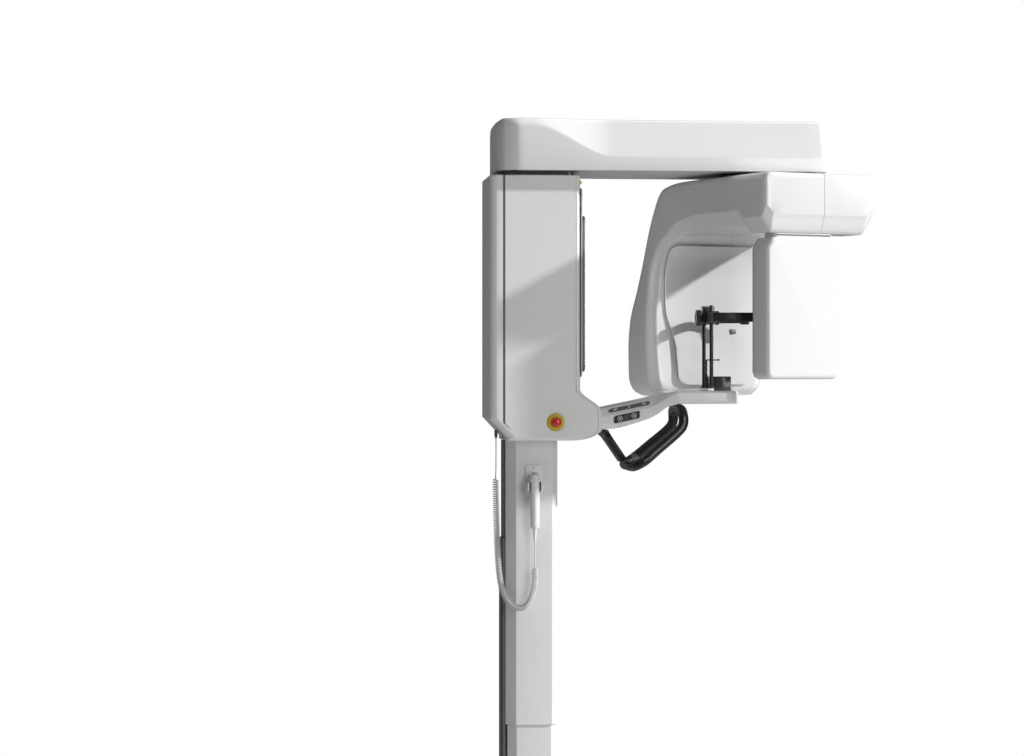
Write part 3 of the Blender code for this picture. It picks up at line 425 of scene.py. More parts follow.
def worn_black(name, colour, roughness, edge=2.4, grain=600.0, strength=0.25, **sockets):
    """Black plastic or enamel whose edges are polished a little lighter by hands."""
    made = shader(name, colour, roughness, **sockets)
    shape = made.node_tree.nodes.new("ShaderNodeNewGeometry")
    light = tuple(min(c * edge, 1.0) for c in colour)
    vary(made, "Base Color", shape.outputs["Pointiness"], [(0.50, colour), (0.58, light)])
    vary(made, "Roughness", noise(made, 30.0, 5.0), [(0.3, roughness - 0.07), (0.7, roughness + 0.08)])
    bump(made, [noise(made, grain, 2.0)], strength, 0.00015)
    return made


def circuit_board():
    made = shader("circuit_board", (0.03, 0.20, 0.09), 0.35)
    tracks = noise(made, 260.0, kind="ShaderNodeTexVoronoi")
    tracks.node.distance = "MANHATTAN"
    vary(made, "Base Color", tracks, [(0.25, (0.06, 0.34, 0.16)), (0.5, (0.02, 0.16, 0.07))])
    bump(made, [tracks], 0.3)
    return made


def silvered_glass():
    """A mirror with a few dull smears where fingers have wiped it."""
    made = shader("silvered_glass", (0.93, 0.94, 0.94), 0.02, 1.0)
    vary(made, "Roughness", noise(made, 9.0, 6.0, (1.0, 1.0, 0.4)), [(0.45, 0.015), (0.8, 0.09)])
    return made


def lit_lamp():
    made = shader("lamp_lens_green", (0.20, 0.55, 0.05), 0.2, Emission_Strength=0.5, Coat_Weight=0.6)
    cells = noise(made, 900.0, kind="ShaderNodeTexVoronoi")
    for socket in ("Emission Color", "Base Color"):
        vary(made, socket, cells, [(0.1, (0.45, 0.85, 0.10)), (0.6, (0.16, 0.50, 0.04))])
    return made


WHITE = moulded("white_gloss_cover", (0.86, 0.86, 0.855), 0.25, 0.012, strength=0.03, rub=0.015,
                Coat_Weight=0.25)
METAL_WHITE = moulded("white_powder_coat", (0.77, 0.77, 0.765), 0.36, 0.015, 700.0, 220.0, 0.08, 0.02)
PANEL_WHITE = moulded("white_inner_panel", (0.87, 0.87, 0.865), 0.18, 0.012, strength=0.03, rub=0.012,
                      Coat_Weight=0.4)
GREY_GLOSS = moulded("grey_gloss_panel", (0.50, 0.51, 0.52), 0.14, 0.03, strength=0.05, Coat_Weight=0.5)
UNDER_GREY = moulded("pale_grey_under", (0.74, 0.74, 0.735), 0.40, 0.03, strength=0.15)
HANDSET_WHITE = moulded("handset_shell", (0.82, 0.82, 0.81), 0.32, 0.03, 1100.0, 300.0, 0.10)
CORD_GREY = moulded("cord_sheath", (0.70, 0.70, 0.69), 0.42, 0.05, 1500.0, 500.0, 0.10)
KEY_GREY = moulded("key_cap_grey", (0.55, 0.56, 0.57), 0.30, 0.04, 1100.0, 400.0, 0.12)
YELLOW = moulded("safety_yellow_ring", (0.70, 0.50, 0.02), 0.42, 0.10, 900.0, 260.0, 0.20)
RED = moulded("stop_red_cap", (0.72, 0.03, 0.015), 0.22, 0.08, 900.0, 200.0, 0.05, Coat_Weight=0.5)
FLOOR_PLATE = moulded("powder_coated_plate", (0.74, 0.74, 0.735), 0.46, 0.05, 420.0, 160.0, 0.35)
BLACK = worn_black("satin_black_plastic", (0.018, 0.018, 0.020), 0.30)
GRIP_BLACK = moulded("soft_black_grip", (0.012, 0.012, 0.013), 0.24, 0.2, 1200.0, 500.0, 0.04, 0.02)
STRIP_BLACK = worn_black("rail_black", (0.022, 0.022, 0.023), 0.38, 2.0, 500.0, 0.2)
DARK_GREY = worn_black("dark_grey_trim", (0.10, 0.10, 0.105), 0.34, 1.6, 700.0, 0.15)
RUBBER = worn_black("pad_rubber_black", (0.028, 0.028, 0.030), 0.62, 1.8, 450.0, 0.45, Sheen_Weight=0.2)
BELT = worn_black("belt_black_rubber", (0.020, 0.020, 0.020), 0.66, 1.6, 380.0, 0.5)
GLOW_WHITE = moulded("printed_white_dot", (0.80, 0.80, 0.80), 0.35, 0.02, 900.0, 300.0, 0.05)
STEEL = brushed("brushed_steel", (0.56, 0.57, 0.58), 0.32)
CHROME = brushed("ground_rod", (0.80, 0.80, 0.81), 0.14, (1.0, 1.0, 1.0))
SMOKE = worn_black("smoked_acrylic", (0.055, 0.055, 0.058), 0.14, 1.5, 300.0, 0.03,
                   Transmission_Weight=0.45, IOR=1.49)
TUBE_GLASS = moulded("tube_envelope", (0.78, 0.84, 0.84), 0.10, 0.03, strength=0.03,
                     Transmission_Weight=0.7, IOR=1.47)
MIRROR = silvered_glass()
LAMP = lit_lamp()
BOARD = circuit_board()


# ---------------------------------------------------------------- stage, lights and camera
KEY_FROM, KEY_LIGHT, KEY_SPREAD = (-0.24, -0.87, 0.42), 3.55, 2.5
WORLD_LIGHT = 0.44
SOFTBOXES = [("side_box", (-5.0, -2.4, 2.2), (2.0, 3.0), 85.0),
             ("top_box", (0.5, -1.5, 5.0), (2.0, 2.0), 25.0)]
SOFTBOX_AIM = Vector((0.0, -0.4, 1.5))
FLOOR_HALF, FLOOR_Z = 3.0, -0.0004


def build_stage():
    """A pale floor, white surroundings, one low sun from the front and two soft fills."""
    floor_look = moulded("pale_floor", (0.62, 0.62, 0.62), 0.7, 0.01, strength=0.05)
    corners = [(*p, FLOOR_Z) for p in box(-FLOOR_HALF, -FLOOR_HALF, FLOOR_HALF, FLOOR_HALF)]
    bm = bmesh.new()
    bm.faces.new([bm.verts.new(p) for p in corners])
    link("pale_floor", bm, floor_look)

    world = bpy.data.worlds.new("studio")
    bpy.context.scene.world = world
    world.use_nodes = True
    tree = world.node_tree
    tree.nodes.clear()
    out = tree.nodes.new("ShaderNodeOutputWorld")
    seen, lighting, mix = (tree.nodes.new(kind) for kind in (
        "ShaderNodeBackground", "ShaderNodeBackground", "ShaderNodeMixShader"))
    ray = tree.nodes.new("ShaderNodeLightPath")
    seen.inputs["Strength"].default_value = 1.0
    seen.inputs["Color"].default_value = (1.0, 1.0, 1.0, 1.0)
    where = tree.nodes.new("ShaderNodeTexCoord")
    parts = tree.nodes.new("ShaderNodeSeparateXYZ")
    tree.links.new(where.outputs["Generated"], parts.inputs["Vector"])
    sky = ramp(tree, parts.outputs["Z"], [(0.0, 0.30), (0.42, 0.20), (0.58, 0.52), (1.0, 0.62)])
    tree.links.new(sky, lighting.inputs["Color"])
    lighting.inputs["Strength"].default_value = WORLD_LIGHT
    tree.links.new(ray.outputs["Is Camera Ray"], mix.inputs["Fac"])
    tree.links.new(lighting.outputs["Background"], mix.inputs[1])
    tree.links.new(seen.outputs["Background"], mix.inputs[2])
    tree.links.new(mix.outputs["Shader"], out.inputs["Surface"])

    key = bpy.data.lights.new("key", "SUN")
    key.energy = KEY_LIGHT
    key.angle = radians(KEY_SPREAD)
    made = bpy.data.objects.new("key", key)
    made.rotation_euler = Vector(KEY_FROM).to_track_quat("Z", "Y").to_euler()
    bpy.context.scene.collection.objects.link(made)
    for name, spot, size, power in SOFTBOXES:
        soft = bpy.data.lights.new(name, "AREA")
        soft.energy = power
        soft.shape = "RECTANGLE"
        soft.size, soft.size_y = size
        made = bpy.data.objects.new(name, soft)
        made.location = spot
        made.rotation_euler = (Vector(spot) - SOFTBOX_AIM).to_track_quat("Z", "Y").to_euler()
        bpy.context.scene.collection.objects.link(made)
    bpy.context.scene.view_settings.view_transform = "Standard"


def build_camera():
    lens = bpy.data.cameras.new("camera")
    lens.lens = 89.75
    lens.sensor_width = 36.0
    lens.shift_y = -0.0137
    made = bpy.data.objects.new("camera", lens)
    made.location = (-6.6645, 0.6965, 1.564)
    made.rotation_euler = Vector((0.9953, -0.0965, 0.0)).to_track_quat("-Z", "Y").to_euler()
    bpy.context.scene.collection.objects.link(made)
    bpy.context.scene.camera = made


# ---------------------------------------------------------------- the handset's cord
LEAD_ROUTE = [(-0.061, 0.098, 1.3712), (-0.061, 0.098, 1.350), (-0.061, 0.098, 1.315),
              (-0.0615, 0.0983, 1.290), (-0.063, 0.0995, 1.2685)]
COIL_ROUTE = [(-0.063, 0.0995, 1.2680), (-0.063, 0.098, 1.195), (-0.0635, 0.096, 1.128),
              (-0.066, 0.0935, 1.063), (-0.071, 0.088, 1.003), (-0.076, 0.078, 0.967),
              (-0.081, 0.061, 0.942), (-0.086, 0.038, 0.932), (-0.091, 0.018, 0.943),
              (-0.0945, 0.005, 0.972), (-0.0965, 0.000, 1.007), (-0.0970, 0.000, 1.039)]
TAIL_ROUTE = [(-0.0970, 0.000, 1.0395), (-0.0965, 0.000, 1.060), (-0.0955, 0.000, 1.082),
              (-0.0950, 0.000, 1.1000)]
OPEN_PITCH, CLOSE_PITCH = 0.0062, 0.0042
TURN_POINTS = 14


def curly_path():
    """The cord's centreline: a straight lead, a helix whose turns close up towards its foot, a tail."""
    centres = smooth_path(COIL_ROUTE, 0.001)
    reach = (COIL_DIAMETER - CORD_DIAMETER) / 2
    helix, turn = [], 0.0
    side = Vector((1.0, 0.0, 0.0))
    sampled = [0.0]
    while sampled[-1] < len(centres) - 1.001:
        share = sampled[-1] / (len(centres) - 1)
        pitch = OPEN_PITCH + (CLOSE_PITCH - OPEN_PITCH) * smoothstep(share * 2.0)
        sampled.append(sampled[-1] + pitch / 0.001 / TURN_POINTS)
    sampled[-1] = len(centres) - 1.001
    for at in sampled:
        i = int(at)
        here = centres[i].lerp(centres[i + 1], at - i)
        ahead = (centres[min(i + 2, len(centres) - 1)] - centres[max(i - 1, 0)]).normalized()
        side = (side - ahead * side.dot(ahead)).normalized()
        up = ahead.cross(side)
        ends = min(at, len(centres) - 1 - at) / 6.0
        radius = reach * smoothstep(ends)
        helix.append(here + (side * cos(turn) + up * sin(turn)) * radius)
        turn += 2 * pi / TURN_POINTS
    return smooth_path(LEAD_ROUTE, 0.006)[:-1] + helix + smooth_path(TAIL_ROUTE, 0.006)[1:]


def build_cord():
    path = curly_path()
    sheath = loft("curly_cord", tube(path, [CORD_DIAMETER / 2] * 8), CORD_GREY)
    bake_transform(sheath)
    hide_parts("cord_lead", "cord_coil", "cord_tail")
    gland = turned("cord_gland_boot", [(0.0021, 1.3713), (0.0028, 1.3722), (0.0040, 1.3755),
                                       (0.0040, 1.3790), (0.0045, 1.3800), (0.0045, 1.3925)],
                   (-0.061, 0.098), "z", DARK_GREY, sides=24)
    settle(gland, "lift", "cord_gland", slot="black_plastic")


# ---------------------------------------------------------------- column and base
def column_outline(step=0.0):
    half, cut_by, back_cut = COLUMN_HALF_X, 0.015, 0.025
    right = [(half - cut_by, COLUMN_FRONT), (half, COLUMN_FRONT + cut_by),
             (half, COLUMN_BACK - back_cut), (half - back_cut, COLUMN_BACK)]
    corners = inset(mirrored(right), step)
    return fillet(corners, 0.0035, 5)


def column_tube(name, step, wall, low, high, look):
    """A drawn column section with a small bead turned on its open edge."""
    outer, inner = column_outline(step), column_outline(step + wall)
    edge = 0.0012
    spots = [(outer, low + edge), (outer, high - edge), (inset(outer, edge), high),
             (inset(inner, -edge), high), (inner, high - edge), (inner, low + edge),
             (inset(inner, -edge * 0.5), low), (inset(outer, edge), low)]
    return loft(name, [[(*p, z) for p in ring] for ring, z in spots], look, closed=True)


def build_column():
    settle(column_tube("column_sleeve", 0.0, 0.004, OUTER_BOTTOM, OUTER_TOP, METAL_WHITE), "lift",
           "outer_column", slot="white_metal")
    foot = slab("column_core", box(-0.10, -0.125, 0.10, 0.135, 0.012), "z", 0.0123, 0.024, 0.001,
                METAL_WHITE)
    core = column_tube("core_tube", INNER_STEP, 0.005, 0.0235, 1.440, METAL_WHITE)
    bolts = [turned("bolt", [(0.008, 0.0238), (0.008, 0.029), (0.0072, 0.030), (0.0040, 0.030),
                             (0.0036, 0.0265)], (x, y), "z", STEEL, sides=6) for x in (-0.085, 0.085)
             for y in (-0.105, 0.115)]
    settle(join(foot, core, *bolts), "base", "inner_column", slot="white_metal")
    outline = box(-0.34, -0.78, 0.34, 0.20, 0.06, 12)
    deck = slab("standing_plate", outline, "z", 0.0, 0.012, 0.003, FLOOR_PLATE, steps=4)
    mat = inset(outline, 0.045)
    lip = [[(*p, z) for p in ring] for ring, z in ((mat, 0.0110), (mat, 0.0124),
            (inset(mat, 0.0012), 0.0128), (inset(mat, 0.004), 0.0128), (inset(mat, 0.0052), 0.0122),
            (inset(mat, 0.0052), 0.0110))]
    bead = loft("bead", lip, FLOOR_PLATE, closed=True)
    settle(join(deck, bead), "base", "base_plate", slot="floor_plate")
    build_foot_cover()
    lips = (("strip_lip_", 0.0275, 0.0006, 0.0767, OUTER_BOTTOM, 1.3652, "lift"),
            ("rail_lip_", 0.033275, 0.0007, 0.0774, 0.0250, 1.1098, "base"))
    for side, out in (("left", -1), ("right", 1)):
        for name, x, thick, back, low, high, body in lips:
            outline = box(out * x - thick, 0.0716, out * x + thick, back)
            settle(slab(name + side, outline, "z", low, high, 0.0002, DARK_GREY, steps=1), body,
                   slot="black_metal")


def build_foot_cover():
    outline = box(-0.125, -0.150, 0.125, 0.160, 0.03, 10)
    top, low, wall = 0.115, 0.0125, 0.003
    steps = [(outline, low)] + [(inset(outline, by), top - at) for by, at in quarter(0.008, 6)]
    bm = bmesh.new()
    add_rings(bm, [[(*p, z) for p in ring] for ring, z in steps], first=False)
    shroud = apply(thicken(link("foot_shroud", bm, WHITE), wall))
    cut(shroud, prism("hole", column_outline(-0.003), "z", top - 0.02, top + 0.02, None),
        prism("rail", box(-0.040, 0.05, 0.040, 0.092), "z", top - 0.02, top + 0.02, None),
        prism("rocker", box(0.0485, 0.0555, 0.0715, 0.0845), "y", 0.150, 0.170, None))
    soften(shroud, 0.0005, 2, 55)
    settle(apply(shroud), "base", "foot_cover", slot="white_cover")


# ---------------------------------------------------------------- carriage
def carriage_front_y(z):
    """The front face: straight down to the flare, then a soft curve out to the chin and under it."""
    flare = smoothstep((1.498 - z) / 0.058)
    y = CARRIAGE_FRONT - 0.059 * flare
    under = max(1.398 - z, 0.0) / (1.398 - CARRIAGE_BOTTOM)
    return y + 0.076 * (1 - sqrt(max(1 - min(under, 1.0) ** 1.7, 0.0)))


def carriage_back_y(z):
    """The back is straight, then slopes in underneath as far as the column's own back."""
    return max(CARRIAGE_BACK - 0.93 * max(1.424 - z, 0.0), COLUMN_BACK + 0.0045)


def carriage_ring(z, part, seam=0.013, gap=0.0005):
    """Half a plan section of the carriage: the front nose or the rear shell, open along the seam."""
    low = max(CARRIAGE_BOTTOM + 0.010 - z, 0.0) / 0.010
    half = CARRIAGE_HALF_X - 0.008 * (1 - sqrt(max(1 - low * low, 0.0)))
    top = max(z - CARRIAGE_TOP + 0.003, 0.0) / 0.003
    half -= 0.002 * top
    front, back = carriage_front_y(z) + 0.002 * top, carriage_back_y(z) - 0.002 * top
    line = front + seam
    if part == "nose":
        right = [(half, line - gap)]
        right += [(half - 0.030 * by, front + (seam - 0.0015) * at) for by, at in quarter(1.0, 9)]
        return mirrored(right)
    slot_low, slot_high, slot_in = 0.0800, 0.0855, 0.005
    sink = slot_in * smoothstep((z - 1.395) / 0.01)
    right = [(half - 0.0004, line + gap), (half, line + gap + 0.0006),
             (half, min(slot_low - 0.009, back - 0.035)), (half, min(slot_low - 0.0006, back - 0.0300)),
             (half - 0.5 * sink, min(slot_low, back - 0.0296)), (half - sink,
            min(slot_low + 0.0006, back - 0.0290)), (half - sink, min(slot_high - 0.0006, back - 0.0245)),
             (half - 0.5 * sink, min(slot_high, back - 0.0240)), (half,
            min(slot_high + 0.0006, back - 0.0235))]
    right += [(half - by, back - at) for by, at in quarter(0.022, 9)]
    return mirrored(right)


def scoop_cutter():
    """A teardrop dish around the stop button that runs out towards the front."""
    dish = [radians(d) for d in range(-112, 100, 8)]
    outline = [(ESTOP_Y + 0.0255 * cos(a), ESTOP_Z + 0.0255 * sin(a)) for a in dish]
    outline.append((ESTOP_Y - 0.064, ESTOP_Z + 0.011))
    deep = [(-CARRIAGE_HALF_X + 0.0030 * (1 - smoothstep((ESTOP_Y + 0.006 - y) / 0.066)) - 0.0001, y, z)
            for y, z in outline]
    out = [(-CARRIAGE_HALF_X - 0.01, y, z) for y, z in outline]
    return loft("scoop", [out, deep], None)


def rail_cutter():
    """The way through the carriage's bottom for the column's rail and strip."""
    return prism("rail", box(-0.038, 0.05, 0.038, 0.0905), "z", 1.3, 1.45, None)


def build_carriage():
    levels = [CARRIAGE_BOTTOM + 0.010 * (1 - cos(pi / 2 * k / 5)) for k in range(6)]
    levels += [1.380, 1.386, 1.392, 1.398, 1.404, 1.412, 1.420, 1.424, 1.430, 1.438, 1.446, 1.454, 1.462,
               1.470, 1.478, 1.486, 1.494, 1.500, 1.600, 1.800, 2.000, CARRIAGE_TOP - 0.003, CARRIAGE_TOP
               - 0.001, CARRIAGE_TOP]
    made = {}
    for part, name in (("nose", "carriage_nose"), ("shell", "carriage_shell")):
        bm = bmesh.new()
        rings = [[(x, y, z) for x, y in carriage_ring(z, part)] for z in levels]
        add_rings(bm, rings, loop=False, first=part == "nose", last=False)
        made[part] = apply(thicken(link(name, bm, WHITE)))
    cut(made["shell"], scoop_cutter(), rail_cutter())
    half, back = CARRIAGE_HALF_X - 0.0084 - WALL, carriage_back_y(CARRIAGE_BOTTOM) - WALL - 0.0001
    front = carriage_front_y(CARRIAGE_BOTTOM) + 0.0160
    outline = fillet(box(-half, front, half, back), [0, 0, 0.018, 0.018], 8)
    floor = prism("floor", outline, "z", CARRIAGE_BOTTOM + 0.0003, CARRIAGE_BOTTOM + 0.0035, WHITE)
    cut(floor, prism("hole", column_outline(-0.0006), "z", 1.3, 1.45, None), rail_cutter())
    made["shell"] = join(made["shell"], floor)
    settle(made["nose"], "lift", "carriage_front", slot="white_cover")
    settle(made["shell"], "lift", "carriage_rear", slot="white_cover")
    # The dark grey strip laid in the bottom of each side groove is painted shade for the groove's depth.
    for side, out in (("left", -1), ("right", 1)):
        low, high = sorted((out * (CARRIAGE_HALF_X - 0.0046), out * (CARRIAGE_HALF_X - 0.0034)))
        settle(slab("groove_shade_strip_" + side, box(low, 0.0806, high, 0.0849), "z", 1.402,
                    CARRIAGE_TOP - 0.001, 0.0003, DARK_GREY, steps=1), "lift", slot="black_plastic")


def build_mirror():
    frame_ring = box(-0.118, 1.530, 0.118, 2.020, 0.024, 10)
    settle(slab("mirror_frame", frame_ring, "y", CARRIAGE_FRONT - 0.0043, CARRIAGE_FRONT - 0.0003, 0.0018,
                GREY_GLOSS), "lift", "mirror_surround", slot="grey_gloss")
    outline = box(-0.085, 1.544, 0.085, 1.949, 0.020, 10)
    back = slab("looking_glass", outline, "y", CARRIAGE_FRONT - 0.0148, CARRIAGE_FRONT - 0.0046, 0.0022,
                DARK_GREY)
    glass = slab("glass", inset(outline, 0.0012), "y", CARRIAGE_FRONT - 0.0160, CARRIAGE_FRONT - 0.0146,
                 0.0006, MIRROR, steps=2)
    settle(join(back, glass), "lift", "mirror", slot="mirror_glass")
    lamp = turned("status_lens", [(0.0050, CARRIAGE_FRONT - 0.0003), (0.0050, CARRIAGE_FRONT - 0.0024),
                                  (0.0046, CARRIAGE_FRONT - 0.0034), (0.0036, CARRIAGE_FRONT - 0.0041),
                                  (0.0018, CARRIAGE_FRONT - 0.0045)], (-0.100, 2.034), "y", LAMP, sides=32)
    settle(lamp, "lift", "status_lamp", slot="lamp_green")


def build_estop():
    side = -CARRIAGE_HALF_X
    centre = (ESTOP_Y, ESTOP_Z)
    ring = turned("stop_collar", [(0.0218, side + 0.0026), (0.0222, side - 0.0012), (0.0214, side - 0.0030),
                                  (0.0200, side - 0.0036), (0.0120, side - 0.0030), (0.0090, side - 0.0020),
                                  (0.0086, side + 0.0010)], centre, "x", YELLOW, sides=56, hollow=True)
    settle(ring, "lift", "estop_ring", slot="safety_yellow")
    dome = [(0.0070, side + 0.013), (0.0070, side - 0.0078), (0.0118, side - 0.0082),
            (0.0125, side - 0.0096), (0.0124, side - 0.0118)]
    dome += [(0.0122 * cos(a), side - 0.0118 - 0.0058 * sin(a))
             for a in (radians(d) for d in (18, 36, 54, 70, 82))]
    settle(turned("stop_dome", dome, centre, "x", RED, sides=48), "estop", "estop_button", slot="stop_red")


# ---------------------------------------------------------------- overhead arm
def arm_section(y, ends):
    """The arm's open section: the side's crease climbs towards the back, and ends draws it in at an end."""
    rise = smoothstep((y + 0.20) / 0.21)
    crease_z, top_half = 2.098 + 0.082 * rise, 0.107 + 0.035 * rise
    back = max(y - 0.040, 0.0) / (ARM_BACK - 0.040)
    half = ARM_HALF_X - 0.040 * back ** 2.2 - ends
    top = ARM_TOP - 0.9 * ends
    top_half = min(top_half, half - 0.012) - 0.3 * ends
    corners = [(half, ARM_BOTTOM), (half, min(crease_z, top - 0.014)), (top_half, top - 0.003), (0.0, top)]
    right = [corners[0]] + fillet(corners, [0, 0.012 + 0.010 * rise, 0.016, 0], 7)[1:-1] + [corners[3]]
    return [(x, y, z) for x, z in right] + [(-x, y, z) for x, z in reversed(right[:-1])]


def build_arm():
    round_off = quarter(0.020, 7)
    rings = [arm_section(ARM_FRONT + at, by) for by, at in reversed(round_off)]
    stations = [-0.70, -0.50, -0.36, -0.28, -0.24] + [-0.22 + 0.012 * k for k in range(24)]
    rings += [arm_section(y, 0.0) for y in stations]
    rings += [arm_section(ARM_BACK - at, by) for by, at in round_off]
    bm = bmesh.new()
    add_rings(bm, rings, loop=False)
    shell = apply(soften(thicken(link("arm_shell", bm, WHITE), 0.0035), 0.0006, 2, 60))
    seam = prism("seam", box(-0.0005, ARM_BOTTOM - 0.01, 0.0005, 2.24), "y", ARM_FRONT - 0.01,
                 ARM_FRONT + 0.0012, None)
    settle(cut(shell, seam), "lift", "arm_cover", slot="white_cover")


# ---------------------------------------------------------------- shelf and its controls
SHELF_ARM = [((-0.1763, 1.4475), (-0.1763, 1.3935), 0.092, 1.0),
             ((-0.220, 1.4565), (-0.212, 1.3965), 0.094, 1.0),
             ((-0.307, 1.4745), (-0.300, 1.4225), 0.100, 1.0),
             ((-0.335, 1.4835), (-0.320, 1.4330), 0.104, 0.8),
             ((-0.352, 1.4900), (-0.345, 1.4510), 0.108, 0.5),
             ((SHELF_SEAM_Y, SHELF_TOP), (SHELF_SEAM_Y, 1.4598), 0.112, 0.25)]


def shelf_section(at):
    """A section of the shelf arm: upper edges that slope, lower edges that are cut, every corner eased."""
    top = Vector([steady([s[0][k] for s in SHELF_ARM], at) for k in (0, 1)])
    low = Vector([steady([s[1][k] for s in SHELF_ARM], at) for k in (0, 1)])
    half, slope = (steady([s[k] for s in SHELF_ARM], at) for k in (2, 3))
    run = (top - low).normalized()
    tall = (top - low).length
    under = 0.005 + 0.006 * slope
    right = [(half - under, 0.0), (half, under), (half, tall - SLOPE_DOWN * slope),
             (half - SLOPE_IN * slope, tall)]
    ease = [0.003, 0.003, 0.0025 + 0.002 * (1 - slope), 0.003]
    shape = fillet(mirrored(right), ease + ease[::-1], 4)
    return [(x, *(low + run * up)) for x, up in shape]


def on_slope(y, share, out):
    """A point on the arm's left slope: a share of the way down it, and out from it."""
    part = (-0.220 - y) / 0.087
    half, top = 0.094 + 0.006 * part, 1.4565 + 0.018 * part
    normal = Vector((-SLOPE_DOWN, 0.0, SLOPE_IN)).normalized()
    spot = Vector((-(half - SLOPE_IN * (1 - share)), y + 0.0028 * share, top - 0.0218 * share))
    return tuple(spot + normal * out)


def on_flank(along, up, out):
    """A point on the shelf arm's left flank: along it, up from its middle, out from its skin."""
    part = along / 0.090
    return (-(0.0944 + 0.0068 * part) - out, -0.215 - along, 1.4205 + 0.0195 * part + up)


def build_shelf():
    steps = 5
    rings = [shelf_section(k / steps) for k in range(steps * (len(SHELF_ARM) - 1) + 1)]
    beam = apply(soften(loft("shelf_beam", rings, WHITE), 0.0008, 2, 50))
    settle(beam, "lift", "shelf_arm", slot="white_cover")
    plate = fillet(box(-0.112, SHELF_FRONT, 0.112, SHELF_SEAM_Y - 0.0004), [0.055, 0.055, 0, 0], 14)
    tray = slab("shelf_tray", plate, "z", SHELF_BOTTOM, SHELF_TOP, 0.007, WHITE, steps=6)
    settle(tray, "lift", "shelf_plate", slot="white_cover")
    build_touch_panel()
    build_keys()


def build_touch_panel():
    """A touch strip along the arm's left slope, with three printed marks."""
    across = (0.70 - 0.30) * (SLOPE_IN ** 2 + SLOPE_DOWN ** 2) ** 0.5
    ends = [(radians(d), side) for side in (-1, 1) for d in range(-90, 91, 15)]
    strip = [(-0.249 + side * (0.054 - across / 2 + across / 2 * cos(a)), 0.5 + side * 0.20 * sin(a))
             for a, side in ends]
    levels = ((1.0, 0.0006), (1.0, 0.0015), (0.985, 0.0021))
    panel = loft("touch_panel", [[on_slope(-0.249 + (y + 0.249) * by, 0.5 + (share - 0.5) * by, out)
                                  for y, share in strip] for by, out in levels], DARK_GREY)
    marks = []
    for y, long in ((-0.287, 0.0050), (-0.249, 0.0028), (-0.213, 0.0056)):
        rings = [[on_slope(y + long * cos(turn), 0.5 + 0.085 * sin(turn), out)
                  for turn in (2 * pi * k / 20 for k in range(20))] for out in (0.0018, 0.0024)]
        marks.append(loft("mark", rings, GLOW_WHITE))
    settle(join(panel, *marks), "lift", "touch_strip", slot="black_plastic")


def build_keys():
    outline = box(-0.008, -0.0095, 0.058, 0.0095, 0.004, 6)
    levels = ((outline, 0.0006), (outline, 0.0030), (inset(outline, 0.0006), 0.0036))
    plate = loft("key_panel", [[on_flank(u, v, out) for u, v in ring] for ring, out in levels], BLACK)
    for along in (0.007, 0.043):
        x, y, z = on_flank(along, 0.0, 0.0)
        cut(plate, turned("hole", [(0.0078, x + 0.001), (0.0078, x - 0.010)], (y, z), "x", None, sides=36))
    ribs = []
    for k in range(9):
        u = 0.0165 + 0.0016 * k
        rib = [(u, -0.0070), (u + 0.0006, -0.0070), (u + 0.0041, 0.0070), (u + 0.0035, 0.0070)]
        ribs.append(loft("rib", [[on_flank(a, b, out) for a, b in rib] for out in (0.0034, 0.0040)],
                         DARK_GREY))
    settle(join(plate, *ribs), "lift", "control_plate", slot="black_plastic")
    for name, piece_name, body, along, tip in (("key_down", "key_cap_down", "down_key", 0.007, -1),
                                               ("key_up", "key_cap_up", "up_key", 0.043, 1)):
        x, y, z = on_flank(along, 0.0, 0.0)
        cap = turned(piece_name, [(0.0073, x - 0.0024), (0.0073, x - 0.0040), (0.0070, x - 0.0046),
                                  (0.0055, x - 0.0049), (0.0050, x - 0.0045)], (y, z), "x", DARK_GREY,
                     sides=40)
        ring = turned("halo", [(0.0068, x - 0.0044), (0.0068, x - 0.0050), (0.0060, x - 0.0050),
                               (0.0060, x - 0.0044)], (y, z), "x", GLOW_WHITE, sides=40, hollow=True)
        mark = loft("mark", [[(x - out, y + a, z + b * tip) for a,
                              b in ((-0.0027, -0.0017), (0.0027, -0.0017), (0.0, 0.0025))]
                             for out in (0.0044, 0.0050)], GLOW_WHITE)
        settle(join(cap, ring, mark), body, name, slot="key_grey")


